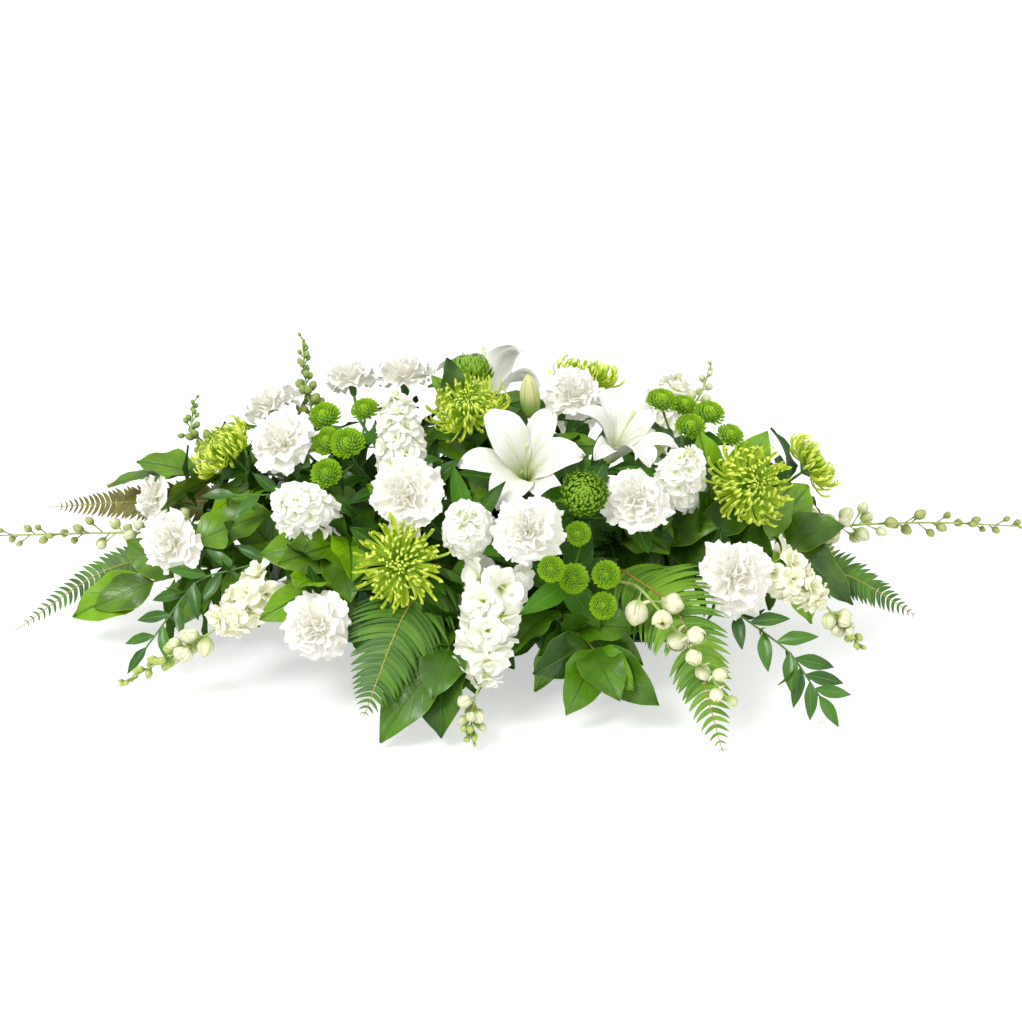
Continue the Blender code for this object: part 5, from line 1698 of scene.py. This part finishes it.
@dataclass
class LilyPlant(BloomPlant):
    """A lily: six tepals in two whorls, filaments and a pistil, and for one of them a bud.

    Attributes:
        bud: the bud's foot and tip, if it has one.
        finish: its tepals' finish.
    """

    bud: Rows = ()
    finish: Finish = LILY_WHITE
    leaves: tuple[int, float, float] = field(default=(9, 0.08, 0.026), init=False)

    def heads(self) -> list[tuple[Vector, float]]:
        """Returns the middle and radius of the open flower."""
        return [(self.centre + self.facing * self.width * 0.25, self.width * 0.34)]

    def grow(self) -> None:
        """Grows the flower, its stem and its bud."""
        width, rng = self.width, self.rng
        inner = np.arange(6) % 2 == 0
        radius = np.where(inner, 0.02, 0.03) * width
        frame = radial_frame(np.radians(np.arange(6) * 60.0), radius, -0.03 * width)
        length = np.where(inner, 0.73, 0.71) * width * rng.uniform(0.94, 1.05, 6)
        across = np.where(inner, 0.31, 0.22) * width
        bend = (np.where(inner, 18.0, 23.0), np.where(inner, 150.0, 158.0) + rng.uniform(-16, 16, 6))
        self.add(LILY_TEPAL.grown(length, across, bend, frame, rng).placed(self.matrix), self.finish)
        self.add(self.heart().placed(self.matrix, width), LILY_HEART)
        curve = self.solid.stem([self.centre - self.facing * NECK, self.centre])
        self.add_stem(curve)
        self.add_stem_leaves(curve)
        if self.bud:
            self.grow_bud(curve[1:])

    @staticmethod
    def heart() -> Surface:
        """Builds the filaments and the pistil with its three-lobed stigma.

        Returns:
            Both, for a lily of width 1.
        """
        parts = []
        for index in range(6):
            turn = math.radians(index * 60 + 20)
            s = np.linspace(0, 1, 8)
            out, up = 0.02 + 0.16 * s**2.2, 0.02 + 0.46 * s
            path = np.stack([out * math.cos(turn), out * math.sin(turn), up], axis=-1)
            parts.append(tube_along(path, np.linspace(0.006, 0.003, 8), 5))
        s = np.linspace(0, 1, 10)
        path = np.stack([0.03 * s**2, 0.01 * s, 0.02 + 0.56 * s], axis=-1)
        radii = np.array([0.011, 0.011, 0.009, 0.007, 0.007, 0.007, 0.007, 0.009, 0.019, 0.014])
        return Surface.joined([*parts, tube_along(path, radii, 9)])

    def grow_bud(self, curve: Points) -> None:
        """Grows the ribbed bud on its own side stem.

        Args:
            curve: of the lily's stem.
        """
        foot, tip = (spot(row) for row in self.bud)
        up = (tip - foot).normalized()
        body = turned_body(*LILY_BUD_BODY).placed(standing_on(foot, up), (tip - foot).length)
        self.add(body, LILY_BUD_GREEN)
        self.add_side_stem(curve, foot.lerp(tip, LILY_BUD_GRIP), up)


@dataclass
class SpikePlant(Plant):
    """A flower spike: open florets round its axis, then buds on stalks towards its tip.

    Attributes:
        axis: its points, in millimetres.
        open_share: the share of the axis with open florets.
        open_width: the spike's width there, in millimetres.
        buds: how many the part has.
        bud_size: the first one's length, in millimetres.
        stalk_size: its stalk's length, in millimetres.
        form: its florets' form.
        finish: its florets' finish.
        florets: how many are open.
        bud_finish: its buds' finish.
        fillers: how many smaller buds stand beside each of the part's.
        crown: how many buds top a spike that is open all along.
    """

    axis: Rows
    open_share: float
    open_width: float
    buds: int
    bud_size: float
    stalk_size: float
    form: RosetteForm = STOCK_FLORET
    finish: Finish = STOCK_WHITE
    florets: int = 0
    bud_finish: BudFinish = PALE_BUD
    fillers: int = 0
    crown: int = 14
    leaves: tuple[int, float, float] = field(default=(9, 0.068, 0.022), init=False)

    def heads(self) -> list[tuple[Vector, float]]:
        """Sets three heads along the open part.

        Returns:
            Their centres, each with the spike's radius.
        """
        reach = max(self.open_share, 0.2)
        fine = divided([spot(row) for row in self.axis], 10)
        radius = max(self.open_width / 1000 * 0.42, 0.01)
        return [(fine[round(10 * reach * share)], radius) for share in (0.1, 0.5, 0.9)]

    def grow(self) -> None:
        """Grows the stem, the florets and the buds."""
        axis = [spot(row) for row in self.axis]
        end = axis[-1]
        if not self.buds:
            axis[-1] = axis[0].lerp(end, STOCK_STEM_END)
        curve = self.solid.stem(axis)
        self.add_stem(curve, PALE_STEM if self.buds else STEM_GREEN, SPIKE_RADII)
        fine = from_nearest(curve[1:], axis[0])
        if self.open_share:
            self.grow_florets(fine[0], fine[round(self.open_share * CURVE_STEPS)] if self.buds else end)
        self.grow_buds(fine)
        if not self.buds:
            self.add_stem_leaves(curve)

    def grow_florets(self, start: Vector, end: Vector) -> None:
        """Sets florets round the axis by the golden angle, smaller and more upright towards its end.

        Args:
            start: of the open part.
            end: of the open part.
        """
        axis = end - start
        up = axis.normalized()
        across = up.orthogonal().normalized()
        width, rng = self.open_width / 1000, self.rng
        for index in range(self.florets):
            share = (index + 0.5) / self.florets
            around = turned(across, up, index * GOLDEN_ANGLE)
            size = width * 0.6 * (1 - 0.34 * share) * rng.uniform(0.9, 1.1)
            lean = math.radians(12 + 50 * share**1.5)
            facing = around * math.cos(lean) + up * math.sin(lean)
            centre = start + axis * (0.02 + 0.86 * share) + around * width * (0.34 - 0.2 * share**2)
            floret = self.form.grown(size, self.seed + index).placed(standing_on(centre, facing))
            self.add(floret, self.finish)
            stalk = np.array([start + axis * max(0.0, 0.84 * share - 0.06), centre - facing * size * 0.1])
            self.add(tube_along(stalk, np.array(FLORET_STALK_RADII), 5), PALE_STEM)
        for index in range(0 if self.buds else self.crown):
            share = index / self.crown
            way = turned(across, up, index * GOLDEN_ANGLE) * (0.9 - 0.8 * share) + up * (0.5 + share)
            foot = end - up * width * (0.22 - 0.1 * share)
            self.add_bud(standing_on(foot, way), 0.007 - 0.003 * share, 0.003, PALE_BUD)

    def grow_buds(self, fine: Points) -> None:
        """Sets the buds at the turns that the solid shows, with smaller ones between them.

        Args:
            fine: the axis in fine steps.
        """
        ways = tangents(fine)
        for index in range(self.buds):
            step = index / self.buds
            share = self.open_share + (1 - self.open_share) * (step + 0.4 / self.buds)
            place = round(share * CURVE_STEPS)
            size = 1 - BUD_TAPER * step
            length, stalk = self.bud_size / 1000 * size, self.stalk_size / 1000 * size
            drawn = length * (1.3 - 0.3 * step)
            pale = step < 0.35 and (self.open_share or self.bud_size > 14)
            finish = PALE_BUD if pale else self.bud_finish
            angle = index * GOLDEN_ANGLE
            turns = [angle + math.radians(turn) for turn in BUD_TURNS]
            frames = [self.bud_frame(fine[place], ways[place], turn, step) for turn in turns]
            tip = Vector((0, 0, stalk + length))
            found = next((frame for frame in frames if self.solid.miss(frame @ tip) < MATCH), None)
            for extra in range(1, self.fillers + 1):
                turn = angle + extra * math.tau / (self.fillers + 1)
                beside = self.bud_frame(fine[min(place + extra, CURVE_STEPS)], ways[place], turn, step)
                self.add_bud(beside, drawn * 0.8, stalk * 1.4, finish)
            if found is None:
                continue
            if self.bud_size > 20 and step < 0.85:
                half_open = HALF_OPEN.grown(length, self.seed + index)
                self.add(half_open.placed(found @ Matrix.Translation((0, 0, stalk))), LARKSPUR_WHITE)
                self.add_bud(found, length * 0.7, stalk, self.bud_finish)
                self.add_spur(found, length, stalk, angle)
            else:
                self.add_bud(found, drawn, stalk * 0.8, finish)

    def add_spur(self, matrix: Matrix, length: float, stalk: float, turn: float) -> None:
        """Adds the curved spur that stands back from a larkspur bud's foot.

        Args:
            matrix: of the bud.
            length: of the bud.
            stalk: its stalk's length.
            turn: of the spur about the bud.
        """
        s = np.linspace(0, 1, 8)[:, None]
        out = np.array([[math.cos(turn), math.sin(turn), 0.0]])
        path = out * length * 0.62 * s + np.array([[0, 0, 1]]) * (stalk + length * (0.3 - 0.75 * s + 0.4 * s**2))
        radii = length * np.interp(s[:, 0], (0, 0.3, 1), (0.2, 0.09, 0.03))
        self.add(tube_along(path, radii, 6).placed(matrix), LARKSPUR_WHITE)

    @staticmethod
    def bud_frame(point: Vector, along: Vector, angle: float, step: float) -> Matrix:
        """Leans a bud off the stem, more upright towards the tip.

        Args:
            point: of the stem.
            along: the stem's direction.
            angle: of the bud round it.
            step: the bud's share of them all.

        Returns:
            The bud's matrix.
        """
        around = turned(along.orthogonal().normalized(), along, angle)
        lean = math.radians(BUD_LEANS[0] + (BUD_LEANS[1] - BUD_LEANS[0]) * step)
        return standing_on(point, along * math.cos(lean) + around * math.sin(lean))

    def add_bud(self, matrix: Matrix, length: float, stalk: float, finish: BudFinish) -> None:
        """Adds one bud on its stalk, up its matrix's +Z.

        Args:
            matrix: of the bud.
            length: of the bud.
            stalk: its stalk's length.
            finish: of both.
        """
        radius = length * finish.plumpness
        body = ((radius * r, stalk + length * h) for r, h in BUD_SHAPE)
        bud = turned_body([(0.0007, 0.0), (0.0006, stalk * 0.6), *body], 10, 5, 0.08)
        self.add(bud.toned(float(self.rng.random() + length * 70) % 1).placed(matrix), finish)


@dataclass
class FernPlant(Plant):
    """A fern frond: a rib with leaflets at twice the part's pitch.

    Attributes:
        rib: its points, in millimetres.
        half_width: of the frond, in millimetres.
        pairs: of leaflets in the part.
        roll: of the leaflets about the rib, in degrees.
        finish: its leaflets' finish.
        rib_finish: its rib's finish.
    """

    rib: Rows
    half_width: float
    pairs: int
    roll: float
    finish: Finish
    rib_finish: Finish

    def grow(self) -> None:
        """Grows the stalk, the rib and the leaflets."""
        given = [spot(row) for row in self.rib]
        ribs = [
            smooth([given[0], *(point + outward(point) * (shift / 1000) for point in given[1:])], 2 * self.pairs)
            for shift in FROND_SHIFTS
        ]
        rib = min(ribs, key=lambda points: self.solid.miss(points[-1]))
        start = given[0] + (given[1] - given[0]).normalized() * STRAIGHT
        self.add_stem(self.solid.stem([given[0], start]), self.rib_finish, FROND_STALK_RADII)
        self.add(tube_along(np.array(rib), np.linspace(*RIB_RADII, len(rib)), 6), self.rib_finish)
        self.grow_leaflets(rib)

    def grow_leaflets(self, rib: Points) -> None:
        """Grows two leaflets for each of the part's, as long as the solid shows.

        Args:
            rib: its points, two stretches to a pair.
        """
        ways = tangents(rib)
        columns = 2 * self.pairs
        rows = []
        for column in range(1, columns, 2):
            for side in (-1, 1):
                full = self.full_length(column / columns)
                tips = {s: self.tip(rib[column], ways[column], side, full * s) for s in PINNA_SHARES}
                share = next((s for s, tip in tips.items() if self.solid.miss(tip) < MATCH), PINNA_SHARES[-1])
                for place in (column - 0.5, column + 0.5):
                    low = int(place)
                    point = rib[low].lerp(rib[low + 1], place - low)
                    along = ways[low].lerp(ways[low + 1], place - low).normalized()
                    length = self.full_length(place / columns) * share
                    width = min((rib[low + 1] - rib[low]).length * 1.3, length * 0.42)
                    drawn = max(length, 0.004) * (1.08 + 0.34 * (place / columns) ** 2)
                    rows.append((point, *self.axes(point, along, side), drawn, width, -side))
        *frame, length, width, side = (np.array(values) for values in zip(*rows))
        rng = self.rng
        bend = (82 + rng.uniform(-6, 6, len(rows)), 102 + rng.uniform(-12, 14, len(rows)))
        sway = side * rng.uniform(0.3, 0.46, len(rows))
        self.add(FERN_LEAFLET.grown(length, width, bend, frame, rng, sway), self.finish)

    def full_length(self, share: float) -> float:
        """Works out a leaflet's length, quickly full and then tapering to the tip.

        Args:
            share: of the rib.

        Returns:
            The length.
        """
        if share < FROND_FULL:
            return self.half_width / 1000 * (FROND_FOOT + (1 - FROND_FOOT) * share / FROND_FULL)
        return self.half_width / 1000 * (1 - (share - FROND_FULL) / (1 - FROND_FULL)) ** 0.8

    def rolled(self, point: Vector, along: Vector) -> list[Vector]:
        """Returns the leaflets' side and normal at a point of the rib."""
        return [turned(way, along, math.radians(self.roll)) for way in mound_frame(point, along)]

    def tip(self, point: Vector, along: Vector, side: int, length: float) -> Vector:
        """Returns where a leaflet ends in the part."""
        across, normal = self.rolled(point, along)
        return point + across * side * length + (along * PINNA_SWEEP - normal * PINNA_DROOP) * length

    def axes(self, point: Vector, along: Vector, side: int) -> tuple[Vector, Vector, Vector]:
        """Finds a leaflet's directions.

        Args:
            point: of the rib.
            along: the rib's direction.
            side: -1 or 1.

        Returns:
            Forward, across and along its normal.
        """
        forward = (self.tip(point, along, side, 1.0) - point - along * 0.1).normalized()
        normal = self.rolled(point, along)[1]
        normal = (normal - forward * normal.dot(forward)).normalized()
        return forward, normal.cross(forward), normal


@dataclass
class LeafyPlant(Plant):
    """A leafy stem, whose leaves stand at the turns that the solid shows.

    Attributes:
        way: its points, in millimetres.
        tips: the given leaves' tips, in millimetres.
        by_rule: how many leaves are set by rule.
        size: their length, in millimetres.
        breadth: their width, in millimetres.
        bare: the share of the way that is bare of them.
        droop: of their tips, in degrees.
        form: its leaves' form.
        finish: its leaves' finish.
        stem_finish: its stem's finish.
        fillers: how many smaller leaves stand round its stem.
        hanging: how many full leaves hang below it.
    """

    way: Rows
    tips: Rows
    by_rule: int
    size: float
    breadth: float
    bare: float
    droop: float
    form: PetalForm = SALAL_LEAF
    finish: Finish = SALAL_GREEN
    stem_finish: Finish = WOODY_STEM
    fillers: int = 16
    hanging: int = 6

    def grow(self) -> None:
        """Grows the stem and its leaves."""
        way = [spot(row) for row in self.way]
        length, width = self.size / 1000, self.breadth / 1000
        curve = self.solid.stem(way)
        self.add_stem(curve, self.stem_finish, LEAF_STEM_RADII)
        fine = from_nearest(curve[1:], way[0])
        ways = tangents(fine)
        rng = self.rng
        for tip in (spot(row) for row in self.tips):
            foot = min(fine[:-1], key=lambda point: abs((tip - point).length - length))
            frames = [self.tip_frame(foot, tip, turn, lift) for turn, lift in LEAF_TURNS]
            self.set_leaf(frames, (tip - foot).length, width, rng)
        for index in range(self.by_rule):
            share = index / (self.by_rule - 1)
            place = round((self.bare + (1 - self.bare) * share) * (CURVE_STEPS - 1))
            side = 0 if index == self.by_rule - 1 else (1 if index % 2 else -1)
            size = 1 - 0.25 * abs(share - 0.4)
            frames = [self.side_frame(fine[place], ways[place], side, turn, lift) for turn, lift in LEAF_TURNS]
            self.set_leaf(frames, length * size, width * size, rng)
        self.add_broad_leaves(curve)
        self.grow_spares(divided(curve[1:]), length, width, rng)

    def grow_spares(self, fine: Points, length: float, width: float, rng: np.random.Generator) -> None:
        """Grows smaller leaves all round the stem, and full ones that hang below it.

        Args:
            fine: the stem in fine steps.
            length: of a full leaf.
            width: of a full leaf.
            rng: draws their sizes, waves and tones.
        """
        ways = tangents(fine)
        for index in range(self.fillers):
            place = round(CURVE_STEPS * 0.86 * (index + 0.5) / self.fillers)
            side = turned(ways[place].orthogonal(), ways[place], index * GOLDEN_ANGLE)
            size = rng.uniform(0.6, 0.84)
            leaf = self.form.leaf(length * size, width * size, (80, 118), rng)
            self.add_spare_leaf(leaf, SHADED_GREEN, fine[place], side, ways[place])
        for index in range(self.hanging):
            share = (index + 0.5) / self.hanging
            place = round(CURVE_STEPS * (0.35 + 0.55 * share))
            turn = math.radians(70) * (1 if index % 2 else -1) * (1 - share)
            leaf = self.form.leaf(length * rng.uniform(0.95, 1.2), width * 1.1, (84, 116), rng)
            side = ways[place].cross(UP).normalized() * math.sin(turn) - UP * math.cos(turn)
            finish = SHADED_GREEN if index % 3 else self.finish
            self.add_spare_leaf(leaf, finish, fine[place], side, ways[place])

    def set_leaf(self, frames: Sequence[Matrix], length: float, width: float, rng: np.random.Generator) -> None:
        """Adds the leaf of the frame and size whose tip the solid has, if any.

        Args:
            frames: to choose from.
            length: of the leaf.
            width: of the leaf.
            rng: draws its waves and tone.
        """
        bend = (90 - self.droop * 0.4, 90 + self.droop)

        def miss(choice: tuple[Matrix, float]) -> float:
            """Returns how far the solid's nearest point lies from the tip that a choice gives."""
            ends = [end_of_leaf(stations, length * choice[1], *bend) for stations in LEAF_STATIONS]
            return min(self.solid.miss(choice[0] @ end) for end in ends)

        foot = Matrix.Translation((LEAF_FOOT, 0, 0))
        found = min(((frame @ foot, share) for share in LEAF_SHARES for frame in frames), key=miss)
        if miss(found) > MATCH:
            LOG.info("%s: no leaf here", self.node)
            return
        leaf = self.form.leaf(length * found[1], width * found[1] * 1.08, bend, rng)
        self.add(leaf.placed(found[0]), self.finish)

    @staticmethod
    def side_frame(point: Vector, along: Vector, side: int, turn: float, lift: float) -> Matrix:
        """Spreads a leaf set by rule to one side, lifted from the mound.

        Args:
            point: of the stem.
            along: the stem's direction.
            side: -1 or 1, or 0 for the end leaf.
            turn: added to its spread.
            lift: in degrees.

        Returns:
            Its matrix.
        """
        across, normal = mound_frame(point, along)
        spread = math.radians((LEAF_SPREAD if side else 0) + turn)
        rise = math.radians(lift)
        forward = along * math.cos(spread) + across * math.sin(spread) * (side or 1)
        up = normal * math.cos(rise) - forward * math.sin(rise)
        return aimed(point, forward * math.cos(rise) + normal * math.sin(rise), up)

    @staticmethod
    def tip_frame(point: Vector, tip: Vector, turn: float, lift: float) -> Matrix:
        """Turns a leaf with a given tip about its line, and lifts it a little.

        Args:
            point: of the stem.
            tip: of the leaf.
            turn: in degrees.
            lift: in degrees.

        Returns:
            Its matrix.
        """
        forward = tip - point
        normal = mound_frame((point + tip) / 2, forward.normalized())[1]
        up = turned(normal, forward, math.radians(turn))
        return aimed(point, forward + normal * forward.length * math.radians(lift) / 2, up)


# The studio


@dataclass(frozen=True)
class Studio:
    """A plain pale floor, soft lights, and the photograph's camera.

    Attributes:
        target: the point at the middle of the picture.
        elevation: the camera's, in degrees.
        distance: from the camera to the target.
        lens: in millimetres.
        floor: the floor's radius.
        lights: each one's name, place, width and power.
        sky: greys of the sky at the horizon and above.
    """

    target: Place = (0.0, 0.0, 0.125)
    elevation: float = 24.0
    distance: float = 2.6
    lens: float = 82.8
    floor: float = 9.0
    lights: tuple[tuple[str, Place, float, float], ...] = (
        ("key", (-1.3, -1.7, 2.4), 1.0, 58.0),
        ("fill", (1.9, -1.2, 1.5), 2.2, 13.0),
    )
    sky: tuple[float, float] = (0.38, 0.92)

    def build(self) -> None:
        """Builds the floor, the lights, the sky and the camera."""
        self.build_floor()
        self.build_camera()
        for light in self.lights:
            self.build_light(*light)
        world = bpy.data.worlds.new("studio")
        world.use_nodes = True
        graph = Graph(world.node_tree)
        way = graph.node("ShaderNodeTexCoord").outputs["Generated"]
        height = graph.node("ShaderNodeSeparateXYZ", {0: way}).outputs["Z"]
        sky = graph.mixed(graph.step(height, -0.1, 0.8), *((grey,) * 3 for grey in self.sky))
        graph.fill(world.node_tree.nodes["Background"], {"Color": sky})
        bpy.context.scene.world = world
        bpy.context.scene.view_settings.view_transform = "Standard"

    @staticmethod
    def place(name: str, data: bpy.types.ID, at: Vector, turn: Sequence[float]) -> bpy.types.Object:
        """Links a new object.

        Args:
            name: of the object.
            data: its mesh, light or camera.
            at: its place.
            turn: its Euler angles.

        Returns:
            The object.
        """
        made = bpy.data.objects.new(name, data)
        made.location = at
        made.rotation_euler = turn
        bpy.context.scene.collection.objects.link(made)
        return made

    def build_floor(self) -> None:
        """Builds the floor as one round sheet just under the object."""
        turn = np.linspace(0, math.tau, 64, endpoint=False)
        rim = np.stack([self.floor * np.cos(turn), self.floor * np.sin(turn), np.full(64, -0.0005)], axis=-1)
        mesh = bpy.data.meshes.new("floor")
        mesh.from_pydata(rim.tolist(), [], [list(range(64))])
        mesh.materials.append(PALE_FLOOR.material())
        self.place("floor", mesh, Vector(), (0, 0, 0))

    def build_light(self, name: str, at: Place, size: float, power: float) -> None:
        """Builds a soft square light that shines on the target.

        Args:
            name: of the light.
            at: its place.
            size: of its side.
            power: in watts.
        """
        data = bpy.data.lights.new(name, "AREA")
        data.size = size
        data.energy = power
        way = Vector(self.target) - Vector(at)
        self.place(name, data, Vector(at), way.to_track_quat("-Z", "Y").to_euler())

    def build_camera(self) -> None:
        """Builds the camera in front of the spray, looking down at it."""
        data = bpy.data.cameras.new("camera")
        data.lens = self.lens
        data.sensor_width = 36.0
        data.sensor_fit = "HORIZONTAL"
        e = math.radians(self.elevation)
        at = Vector(self.target) + Vector((0, -math.cos(e), math.sin(e))) * self.distance
        turn = (math.radians(90 - self.elevation), 0, 0)
        bpy.context.scene.camera = self.place("camera", data, at, turn)


def numbered(kind: str, rows: Rows) -> dict[str, Sequence[float]]:
    """Returns rows by node, named by kind and counted from 01."""
    return {f"{kind}_{number:02d}": row for number, row in enumerate(rows, 1)}


def plants(solids: dict[str, Solid]) -> list[Plant]:
    """Makes every plant of the spray, before it is grown.

    Args:
        solids: by node.

    Returns:
        The plants in order.
    """
    kinds = (
        (CarnationPlant, numbered("carnation", CARNATIONS)),
        (RosettePlant, numbered("spider_mum", SPIDER_MUMS)),
        (GreenMumPlant, GREEN_MUMS),
        (ButtonSprayPlant, {node: (rows,) for node, rows in BUTTON_SPRAYS.items()}),
        (LilyPlant, LILIES),
        (SpikePlant, SPIKES),
        (FernPlant, FRONDS),
        (LeafyPlant, LEAFY_STEMS),
    )
    made = []
    for kind, table in kinds:
        for node, row in table.items():
            slot, *dress = next(look for start, look in LOOKS.items() if node.startswith(start))
            made.append(kind(node, solids[node], slot, *row, *dress))
    return made


def main() -> None:
    """Loads the frame, grows every plant in order, and dresses the saddle and the foam."""
    logging.basicConfig(level=logging.INFO, format="%(message)s")
    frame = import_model()
    Studio().build()
    nodes = frame["nodes"]
    spray = plants({name: Solid(thing.data) for name, thing in nodes.items()})
    for plant in spray:
        plant.others = [head for other in spray if other is not plant for head in other.heads()]
        plant.grow()
        plant.make()
    for name, finish in (("saddle", SADDLE_PLASTIC), ("foam", WET_FOAM)):
        nodes[name].material_slots[0].material = finish.material()


if __name__ == "__main__":
    main()
